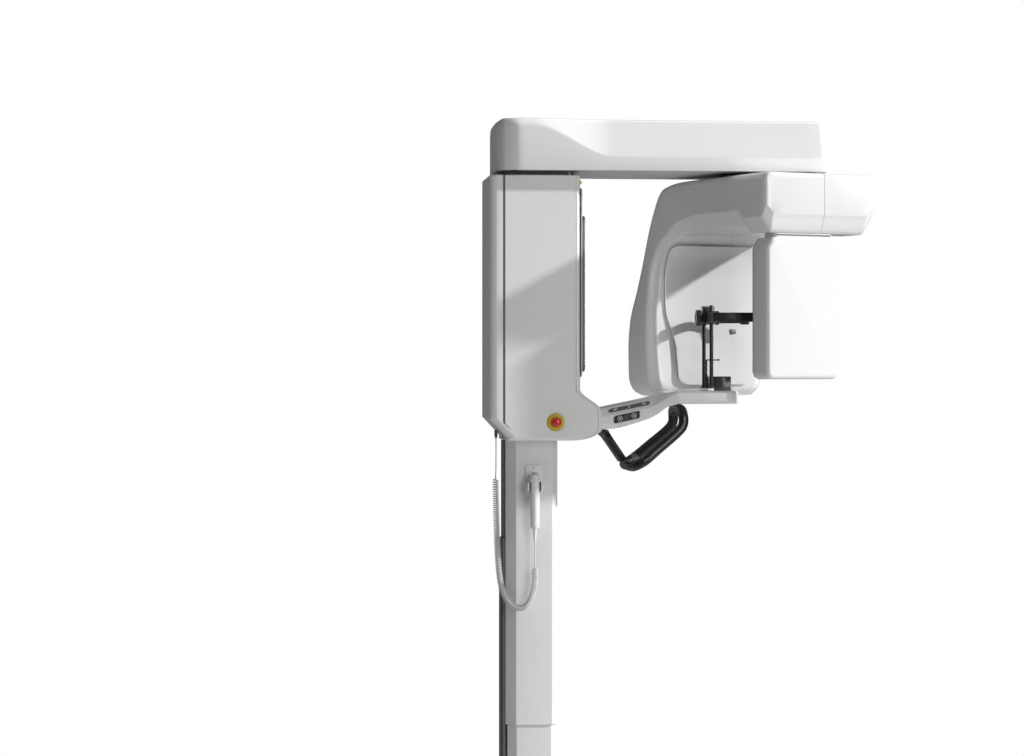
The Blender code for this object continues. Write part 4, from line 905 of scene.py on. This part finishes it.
def build_handle():
    right = [(0.0, -0.388, 1.4460), (0.050, -0.388, 1.4455), (0.078, -0.389, 1.4370),
             (0.086, -0.390, 1.410), (0.090, -0.376, 1.388), (0.097, -0.325, 1.345),
             (0.102, -0.288, 1.314), (0.096, -0.264, 1.300), (0.070, -0.257, 1.297), (0.0, -0.256, 1.297)]
    loop = right + [(-x, y, z) for x, y, z in reversed(right[1:-1])]
    path = smooth_path(loop, 0.006, closed=True)
    sides = 28
    profile = []
    for k in range(sides):
        turn = 2 * pi * k / sides
        dents = sum(exp(-((((turn - at + pi) % (2 * pi)) - pi) / 0.16) ** 2) for at in (0.0, pi))
        profile.append(0.013 - 0.0008 * dents)
    grip = loft("grip_loop", tube(path, profile, closed=True), GRIP_BLACK, closed=True)
    # The joint bands are real rings; their dark grey, lighter than the black grip, is a painted highlight for
    # the seam's reflection.
    for x in (-1, 1):
        band_path = smooth_path([(x * 0.1005, -0.2955, 1.3205), (x * 0.1012, -0.2895, 1.3153),
                                 (x * 0.1014, -0.2835, 1.311)], 0.002)
        grip = join(grip, loft("band", tube(band_path, [0.0133] * sides), DARK_GREY))
    settle(grip, "lift", "handle_loop", slot="black_metal")
    levels = ((0.060, -0.189, 1.3925), (0.060, -0.189, 1.385), (0.046, -0.194, 1.379),
              (0.036, -0.199, 1.373), (0.033, -0.206, 1.363), (0.030, -0.2420, 1.3100))
    strut = [[(x, y + rear, z - 0.004 if rear > 0 else z + 0.004)
              for x, rear in ((half, 0.0085), (half, -0.0085), (-half, -0.0085), (-half, 0.0085))]
             for half, y, z in levels]
    strut[0] = [(x, y, 1.3922) for x, y, z in strut[0]]
    web = apply(soften(loft("grip_strut", strut, GRIP_BLACK), 0.0022, 4, 35))
    settle(web, "lift", "handle_strut", slot="black_metal")


# ---------------------------------------------------------------- head support
def build_head_support():
    middle = (BAND_BOTTOM + BAND_TOP) / 2
    foot = slab("rod_stand", box(-0.066, -0.4745, 0.066, -0.4575, 0.003, 5), "z", SHELF_TOP
                + 0.0003, SHELF_TOP + 0.006, 0.0012, WHITE, steps=3)
    parts = [foot]
    for x in (-ROD_X, ROD_X):
        rod = turned("rod", [(0.0085, SHELF_TOP + 0.0055), (0.0085, SHELF_TOP + 0.0095),
                             (0.0075, SHELF_TOP + 0.0108), (ROD_RADIUS, SHELF_TOP + 0.0112),
                             (ROD_RADIUS, ROD_TOP - 0.0022), (ROD_RADIUS - 0.0007, ROD_TOP - 0.0006),
                             (ROD_RADIUS - 0.0022, ROD_TOP)], (x, ROD_Y), "z", BLACK, sides=32)
        rings = [turned("ring", [(ROD_RADIUS + 0.00005, z), (ROD_RADIUS + 0.0004, z + 0.0002),
                                 (ROD_RADIUS + 0.0004, z + 0.0006), (ROD_RADIUS + 0.00005, z + 0.0008)],
                        (x, ROD_Y), "z", DARK_GREY, sides=32) for z in (1.56, 1.60, 1.64)]
        parts += [rod, *rings]
    settle(join(*parts), "lift", "support_rods", slot="black_plastic")

    bridge = fillet([(-0.090, -0.4775), (-0.020, -0.4775), (-0.020, -0.486), (0.020, -0.486),
                     (0.020, -0.4775), (0.090, -0.4775), (0.090, -0.4605), (0.020, -0.4605),
                     (0.020, -0.4520), (-0.020, -0.4520), (-0.020, -0.4605), (-0.090, -0.4605)],
                    [0.0075, 0.002, 0.004, 0.004, 0.002, 0.0075, 0.0075, 0.002, 0.004, 0.004, 0.002,
                     0.0075], 6)
    bar = slab("temple_bridge", bridge, "z", BAND_BOTTOM, BAND_TOP, 0.0018, BLACK, steps=4)
    tower = slab("tower", box(-0.0165, -0.4835, 0.0165, -0.4545, 0.006, 6), "z", BAND_TOP - 0.004,
                 1.7130, 0.003, BLACK)
    cap = slab("cap", box(-0.0180, -0.4850, 0.0180, -0.4530, 0.007, 6), "z", 1.7095, 1.7160,
               0.0024, DARK_GREY)
    clamps = []
    for x in (-ROD_X, ROD_X):
        clamps.append(turned("clamp", [(0.0096, BAND_BOTTOM - 0.004), (0.0102, BAND_BOTTOM - 0.0034),
                                       (0.0102, BAND_TOP + 0.0034), (0.0096, BAND_TOP + 0.004),
                                       (0.0056, BAND_TOP + 0.004), (0.0056, BAND_BOTTOM - 0.004)],
                             (x, ROD_Y), "z", BLACK, sides=36, hollow=True))
    cut(bar, prism("stem", circle(0.0058, (0.0, middle), 32), "y", -0.50, -0.462, None),
        prism("knob_stem", circle(0.0048, (0.0, middle), 32), "y", -0.459, -0.44, None))
    settle(join(bar, tower, cap, *clamps), "lift", "head_bridge", slot="black_plastic")
    build_temple("left", -1)
    build_temple("right", 1)
    knob = [(0.0042, -0.4585), (0.0042, -0.4512), (0.0180, -0.4512), (0.0208, -0.4502), (0.0215, -0.4488),
            (0.0215, -0.4400), (0.0206, -0.4385), (0.0190, -0.4375), (0.0130, -0.4372), (0.0110, -0.4382),
            (0.0060, -0.4385)]
    settle(turned("temple_dial", knob, (0.0, middle), "y", BLACK, sides=144, lobes=24, depth=0.0007),
           "knob", "temple_knob", slot="black_plastic")
    pad = [(0.0052, -0.4650), (0.0052, -0.4890), (0.0150, -0.4890), (0.0176, -0.4898), (0.0190, -0.4920),
           (0.0190, -0.4950), (0.0180, -0.4985), (0.0150, -0.5008), (0.0120, -0.5018), (0.0060, -0.5020)]
    settle(turned("brow_pad", pad, (0.0, middle), "y", RUBBER, sides=48), "forehead", "forehead_pad",
           slot="pad_rubber")


def build_temple(side, out):
    outer = [(0.0925, -0.4640), (0.109, -0.4660), (0.124, -0.476), (0.130, -0.495), (0.131, -0.545),
             (0.128, -0.580), (0.1245, -0.598)]
    inner = [(0.1185, -0.597), (0.1225, -0.572), (0.1265, -0.543), (0.1255, -0.497), (0.1205, -0.481),
             (0.107, -0.4715), (0.0925, -0.4700)]
    path = [(out * p.x, p.y) for line in (outer, inner) for p in smooth_path([(*q, 0) for q in line],
            0.004)]
    strap = slab("temple_strap_" + side, path, "z", BAND_BOTTOM + 0.0015, BAND_TOP - 0.0015, 0.0008,
                 BLACK, steps=2)
    hinge = turned("hinge", [(0.0052, BAND_BOTTOM - 0.0005), (0.0060, BAND_BOTTOM), (0.0060, BAND_TOP),
                             (0.0052, BAND_TOP + 0.0005)], (out * 0.0985, -0.4672), "z", DARK_GREY,
                   sides=32)
    pad_shape = fillet([(0.1275, -0.580), (0.1245, -0.6045), (0.1105, -0.6020), (0.1095, -0.5930),
                        (0.1150, -0.5790)], [0.003, 0.004, 0.004, 0.004, 0.003], 5)
    pad = slab("pad", [(out * x, y) for x, y in pad_shape], "z", BAND_BOTTOM - 0.0018, BAND_TOP + 0.0018,
               0.0022, RUBBER, steps=4)
    near, far = sorted((out * 0.1298, out * 0.1316))
    ribs = [slab("rib", box(near, y - 0.0006, far, y + 0.0006), "z", BAND_BOTTOM + 0.004, BAND_TOP
                 - 0.004, 0.0003, DARK_GREY, steps=1) for y in (-0.520, -0.5235, -0.527, -0.5305, -0.534)]
    settle(join(strap, hinge, pad, *ribs), side + "_temple", "temple_" + side, slot="black_plastic")


def build_chin_rest():
    u_shape = [(-0.0472, -0.523), (-0.0440, -0.523), (-0.0440, -0.4800), (0.0440, -0.4800),
               (0.0440, -0.523), (0.0472, -0.523), (0.0472, -0.4770), (-0.0472, -0.4770)]
    shape = fillet(u_shape, [0.001, 0.001, 0.004, 0.004, 0.001, 0.001, 0.006, 0.006], 5)
    cup = slab("chin_cup", shape, "z", SHELF_TOP + 0.0003, 1.531, 0.0008, SMOKE, steps=3)
    settle(cup, "lift", "chin_rest", slot="clear_smoke")
    rod = turned("bite_stem", [(0.0045, 1.5003), (0.0050, 1.5010), (0.0050, 1.5290), (0.0042, 1.5340),
                               (0.0030, 1.5365), (0.0022, 1.5380), (0.0022, 1.5745)], (0.0, -0.466), "z",
                 BLACK, sides=28)
    fork = slab("fork", fillet([(-0.0060, -0.4620), (0.0060, -0.4620), (0.0075, -0.4780),
                                (0.0060, -0.4985), (0.0020, -0.5000), (-0.0020, -0.5000),
                                (-0.0060, -0.4985), (-0.0075, -0.4780)], 0.0015, 3), "z", 1.5730, 1.5762,
                0.0006, BLACK, steps=2)
    lip = slab("lip", box(-0.0062, -0.4998, 0.0062, -0.4978, 0.0006, 2), "z", 1.5722, 1.5775,
               0.0004, BLACK, steps=2)
    settle(join(rod, fork, lip), "bite", "bite_rod", slot="black_plastic")


# ---------------------------------------------------------------- handset
def build_handset():
    side = -COLUMN_HALF_X - 0.0003
    centre = (HANDSET_X, HANDSET_Y)
    plate = slab("handset_cradle", box(-0.022, 1.223, 0.022, 1.301, 0.006, 6), "x", side - 0.005,
                 side, 0.0018, HANDSET_WHITE, steps=4)
    fork = fillet([(side - 0.004, -0.0205), (side - 0.004, 0.0205), (-0.1010, 0.0205), (-0.1030, 0.0185),
                   (-0.1030, 0.0150), (-0.0880, 0.0150), (-0.0800, 0.0110), (-0.0780, 0.0000),
                   (-0.0800, -0.0110), (-0.0880, -0.0150), (-0.1030, -0.0150), (-0.1030, -0.0185),
                   (-0.1010, -0.0205)], [0, 0, 0.0015, 0.001, 0.001, 0.004, 0.003, 0.002, 0.003, 0.004,
                                         0.001, 0.001, 0.0015], 4)
    arms = slab("arms", fork, "z", 1.2345, 1.2578, 0.0014, HANDSET_WHITE, steps=3)
    liner = [loft("liner", [[(x, y * s, z) for x, y in ((-0.1020, 0.0149), (-0.0885, 0.0149),
            (-0.0885, 0.0143), (-0.1020, 0.0143))] for z in (1.2362, 1.2562)], BLACK) for s in (-1, 1)]
    screws = [turned("screw", [(0.0028, side - 0.0048), (0.0028, side - 0.0056), (0.0020, side - 0.0060)],
                     (0.0, z), "x", STEEL, sides=20) for z in (1.2285, 1.2950)]
    settle(join(plate, arms, *liner, *screws), "lift", "handset_holder", slot="white_cover")
    body = [(0.0088, 1.1390), (0.0104, 1.1392), (0.0112, 1.1405), (0.0116, 1.1500), (0.0124, 1.2000),
            (0.0125, 1.2400), (0.0125, 1.2583), (0.0150, 1.2585), (0.0166, 1.2592), (0.0168, 1.2600),
            (0.0168, 1.2640), (0.0160, 1.2656), (0.0140, 1.2680), (0.0134, 1.2700), (0.0130, 1.2760),
            (0.0124, 1.2769), (0.0100, 1.2770), (0.0090, 1.2766), (0.0088, 1.2755), (0.0088, 1.2705)]
    settle(turned("hand_switch_shell", body, centre, "z", HANDSET_WHITE, sides=56), "hand_switch",
           "handset", slot="white_cover")
    boot = [(0.0019, 1.1003), (0.0024, 1.1006)]
    for k in range(7):
        z, r = 1.1030 + 0.0048 * k, 0.0027 + 0.00036 * k
        boot += [(r, z), (r + 0.00045, z + 0.0006), (r + 0.00045, z + 0.0026), (r, z + 0.0032)]
    boot += [(0.0052, 1.1375), (0.0052, 1.1387)]
    settle(turned("bend_relief", boot, centre, "z", HANDSET_WHITE, sides=28), "hand_switch",
           "strain_relief", slot="cord_grey")
    button = [(0.0080, 1.2735), (0.0080, 1.2812), (0.0077, 1.2822), (0.0066, 1.2832), (0.0045, 1.2838),
              (0.0020, 1.2838)]
    settle(turned("exposure_cap", button, centre, "z", KEY_GREY, sides=40), "exposure", "exposure_button",
           slot="key_grey")


# ---------------------------------------------------------------- C-arm
C_STATIONS = [((-0.2950, 2.043), (-0.2950, 1.945), -0.194, 0.117),
              ((-0.2910, 2.049), (-0.2910, 1.936), -0.203, 0.125),
              ((-0.2720, 2.051), (-0.2700, 1.897), C_FRONT, C_BACK),
              ((-0.1900, 2.051), (-0.1900, 1.897), C_FRONT, C_BACK),
              ((-0.1650, 2.051), (-0.1650, 1.917), C_FRONT, C_BACK),
              ((-0.0500, 2.051), (-0.0500, 1.917), C_FRONT, C_BACK),
              ((0.0500, 2.0510), (0.0400, 1.917), C_FRONT, C_BACK),
              ((0.1350, 2.0500), (0.0950, 1.917), C_FRONT, C_BACK),
              ((0.2100, 2.0380), (0.1300, 1.910), -0.206, 0.135),
              ((0.2460, 1.9850), (0.1480, 1.885), -0.203, 0.141),
              ((0.2650, 1.9100), (0.1580, 1.855), -0.198, 0.151),
              ((0.2780, 1.8300), (0.1630, 1.800), -0.189, 0.161),
              ((0.2960, 1.7600), (0.1620, 1.740), -0.179, 0.168),
              ((0.3160, 1.6800), (0.1540, 1.670), -0.168, 0.177),
              ((0.3220, 1.6090), (0.1450, 1.605), -0.159, 0.179),
              ((0.3210, 1.5300), (0.1320, 1.535), -0.150, 0.178),
              ((0.3100, 1.4920), (0.1290, 1.503), -0.138, 0.169),
              ((0.2840, 1.4780), (0.1420, 1.480), -0.122, 0.156)]
SEAM_START, LEG_SEAM = 5.6, 9.0


def hollow(y, front, back, station):
    """How much deeper the leg's inner face is at a place across it: it leans outwards towards the back."""
    leg = min(max((station - 8) / 3, 0.0), 1.0)
    most = 0.045 + 0.012 * min(max((station - 13) / 3, 0.0), 1.0)
    return leg * most * ((y - front) / (back - front)) ** 1.2


def c_profile(at, rear, dent=0.0):
    """Half of the C-arm's section at a station, open at the cover seam: the rear cover or the front one."""
    channel = [steady([s[i][j] for s in C_STATIONS], at) for i in (0, 1) for j in (0, 1)]
    o, n = Vector(channel[:2]), Vector(channel[2:])
    front, back = (steady([s[i] for s in C_STATIONS], at) for i in (2, 3))
    across = (n - o).normalized()
    length = (n - o).length
    sign, edge = (1, back) if rear else (-1, front)
    gap = 0.0006
    beam = min(max((9 - at) / 3, 0.0), 1.0)
    end = min(max((2 - at) / 2, 0.0), 1.0)
    cut_in = (0.020 + 0.021 * beam) * (1 - end) + 0.014 * end
    cut_y = (0.020 + 0.008 * beam) * (1 - end) + 0.014 * end
    spots = [(0.0015, C_SPLIT_Y + sign * gap), (0.0, C_SPLIT_Y + sign * (gap + 0.0015))]
    spots += [(by, edge - sign * down) for by, down in quarter(0.020, 7)]
    open_up = smoothstep((at - SEAM_START) / 1.4) * (1 - smoothstep((at - 16.4) / 0.6))
    seam = 0.021 + 0.013 * smoothstep((at - SEAM_START) / 3.5)
    depth = 0.0011 * open_up
    spots += [(seam - 0.0007, edge), (seam - 0.0003, edge - sign * depth),
              (seam + 0.0003, edge - sign * depth), (seam + 0.0007, edge)]
    low_y = edge - sign * cut_y
    inner = [(length - hollow(low_y, front, back, at), low_y)]
    corner = (length - cut_in - hollow(edge, front, back, at), edge)
    bend = 0.007 + 0.009 * (1 - beam)
    knee = fillet([(seam + 0.004, edge), corner, inner[0], (length, C_SPLIT_Y)], [0, bend, bend, 0],
                  6)[1:-1]
    last = knee[-1][1]
    face = []
    for k in range(1, 9):
        y = last + (C_SPLIT_Y + sign * gap - last) * k / 8
        face.append((length - hollow(y, front, back, at), y))
    spots += [(a, y - sign * dent) for a, y in knee]
    spots += [(a - dent, y) for a, y in face]
    return [((o + across * a).x, y, (o + across * a).y) for a, y in spots]


def build_c_covers():
    last = len(C_STATIONS) - 1
    samples = [(k / 6, 0.0) for k in range(6 * last + 1)]
    samples += [(LEG_SEAM - 0.014, 0.0), (LEG_SEAM - 0.006, 0.0010), (LEG_SEAM + 0.006, 0.0010),
                (LEG_SEAM + 0.014, 0.0)]
    samples = sorted(s for s in samples if s[0] != LEG_SEAM)
    for rear, name, node in ((True, "c_shell_rear", "c_rear_cover"),
                             (False, "c_shell_front", "c_front_cover")):
        bm = bmesh.new()
        add_rings(bm, [c_profile(at, rear, dent) for at, dent in samples], loop=False)
        shell = thicken(link(name, bm, WHITE, IN_C_ARM), 0.0035)
        settle(apply(shell), "c_arm", node, slot="white_cover")


def inner_face(y, z):
    """The leg's inner face: its x at a place across and up."""
    low, high = 8.0, 17.0
    heights = [s[1][1] for s in C_STATIONS]
    for _ in range(30):
        at = (low + high) / 2
        if steady(heights, at) > z:
            low = at
        else:
            high = at
    front, back = (steady([s[i] for s in C_STATIONS], at) for i in (2, 3))
    return steady([s[1][0] for s in C_STATIONS], at) + hollow(y, front, back, at)


def leg_front(z):
    """The leg's front edge at a height."""
    for (_, top, front, _), (_, low, front_below, _) in zip(C_STATIONS[8:], C_STATIONS[9:]):
        if low[1] <= z <= top[1]:
            return front + (front_below - front) * (top[1] - z) / (top[1] - low[1])
    raise ValueError(z)


def build_inner_liner():
    """The pale panel on the leg's inner face: its rear edge runs in an S, and a soft fold crosses it."""
    z_low, z_high = 1.508, 1.882
    rows, columns = 44, 26
    rings = []
    for i in range(rows + 1):
        z = z_low + (z_high - z_low) * i / rows
        ends = [max(0.0, 1 - (z - z_low) / 0.026), max(0.0, 1 - (z_high - z) / 0.016)]
        pull = 0.026 * (1 - sqrt(1 - ends[0] ** 2)) + 0.016 * (1 - sqrt(1 - ends[1] ** 2))
        rear = 0.108 + 0.022 * smoothstep((z - 1.600) / 0.110) - pull
        front = leg_front(z) + 0.030 + pull
        row = []
        for k in range(columns + 1):
            share = k / columns
            y = front + (rear - front) * share
            fold = 0.0030 * smoothstep((1.640 - z) / 0.030) * smoothstep(share * 2.2 - 0.6)
            row.append((inner_face(y, z) - 0.0036 - fold, y, z))
        rings.append(row)
    bm = bmesh.new()
    add_rings(bm, rings, loop=False, first=False, last=False)
    panel = apply(soften(thicken(link("inner_liner", bm, PANEL_WHITE, IN_C_ARM), 0.003), 0.0012, 3, 60))
    window = slab("window", box(-0.069, 1.6450, -0.053, 1.6570, 0.002, 4), "x", 0.10, 0.20, 0.0,
                  None, IN_C_ARM)
    settle(cut(panel, window), "c_arm", "tube_inner_panel", slot="white_cover")
    x = inner_face(-0.061, 1.651) - 0.0036
    bezel = slab("port_bezel", box(-0.0705, 1.6435, -0.0515, 1.6585, 0.003, 5), "x", x - 0.0038, x
                 - 0.0026, 0.0005, DARK_GREY, IN_C_ARM, steps=2)
    settle(bezel, "c_arm", slot="black_plastic")


def build_sensor():
    outline = [(-0.105, SENSOR_BOTTOM), (0.112, SENSOR_BOTTOM), (0.112, 1.858), (0.096, SENSOR_TOP),
               (-0.105, SENSOR_TOP)]
    outline = fillet(outline, [0.020, 0.020, 0.014, 0.014, 0.020], 8)
    open_x = SENSOR_INNER - 0.0042
    rings = [[place(p, "x", SENSOR_OUTER + at) for p in inset(outline, by)]
             for by, at in reversed(quarter(0.011, 8))]
    rings.append([place(p, "x", open_x) for p in outline])
    bm = bmesh.new()
    add_rings(bm, rings, last=False)
    shell = apply(soften(thicken(link("sensor_shell", bm, WHITE, IN_C_ARM), 0.003), 0.0006, 2, 60))
    neck = slab("neck", box(-0.272, -0.090, -0.218, 0.085, 0.01, 6), "z", SENSOR_TOP - 0.002,
                BEAM_BOTTOM - 0.0004, 0.0012, WHITE, IN_C_ARM, steps=3)
    settle(join(shell, neck), "c_arm", "sensor_housing", slot="white_cover")
    slits = []
    for k in range(31):
        y = -0.083 + 0.0054 * k
        slits.append(slab("slit", box(-0.2733, y, -0.2705, y + 0.0030, 0.0006, 2), "z", 1.8905,
                          1.8945, 0.0003, BLACK, IN_C_ARM, steps=1))
    settle(join(*slits), "c_arm", slot="black_plastic").name = "neck_vents"


# ---------------------------------------------------------------- CAD nodes that stay
def dress_nodes():
    """New looks on the CAD nodes that stay, with their edges softened where that helps."""
    for node, look, edge in (("cable_rail", STRIP_BLACK, 0.0006),
                             ("column_back_strip", STRIP_BLACK, 0.0006), ("actuator_tube", STEEL, 0.0),
                             ("actuator_rod", CHROME, 0.0), ("power_switch", BLACK, 0.0003),
                             ("control_board", BOARD, 0.0), ("neck_plate", BLACK, 0.0010),
                             ("arm_underside", UNDER_GREY, 0.0008), ("arm_beam", STEEL, 0.0),
                             ("cross_slide", STEEL, 0.0005), ("swivel_bearing", CHROME, 0.0),
                             ("rotation_motor", DARK_GREY, 0.0006), ("drive_belt", BELT, 0.0),
                             ("drive_pulley", STEEL, 0.0004), ("swivel_hub", BLACK, 0.0006),
                             ("collimator", DARK_GREY, 0.0008), ("tube_tank", STEEL, 0.0),
                             ("x_ray_tube", TUBE_GLASS, 0.0), ("sensor_window", DARK_GREY, 0.0006),
                             ("sensor_panel", BOARD, 0.0)):
        thing = NODES[node]
        thing.data.materials.clear()
        thing.data.materials.append(look)
        if edge:
            soften(thing, edge, 2, 40)


for build in (build_camera, build_stage, build_cord, build_column, build_carriage, build_mirror,
              build_estop, build_arm, build_shelf, build_handle, build_head_support, build_chin_rest,
              build_handset, build_c_covers, build_inner_liner, build_sensor, dress_nodes):
    build()
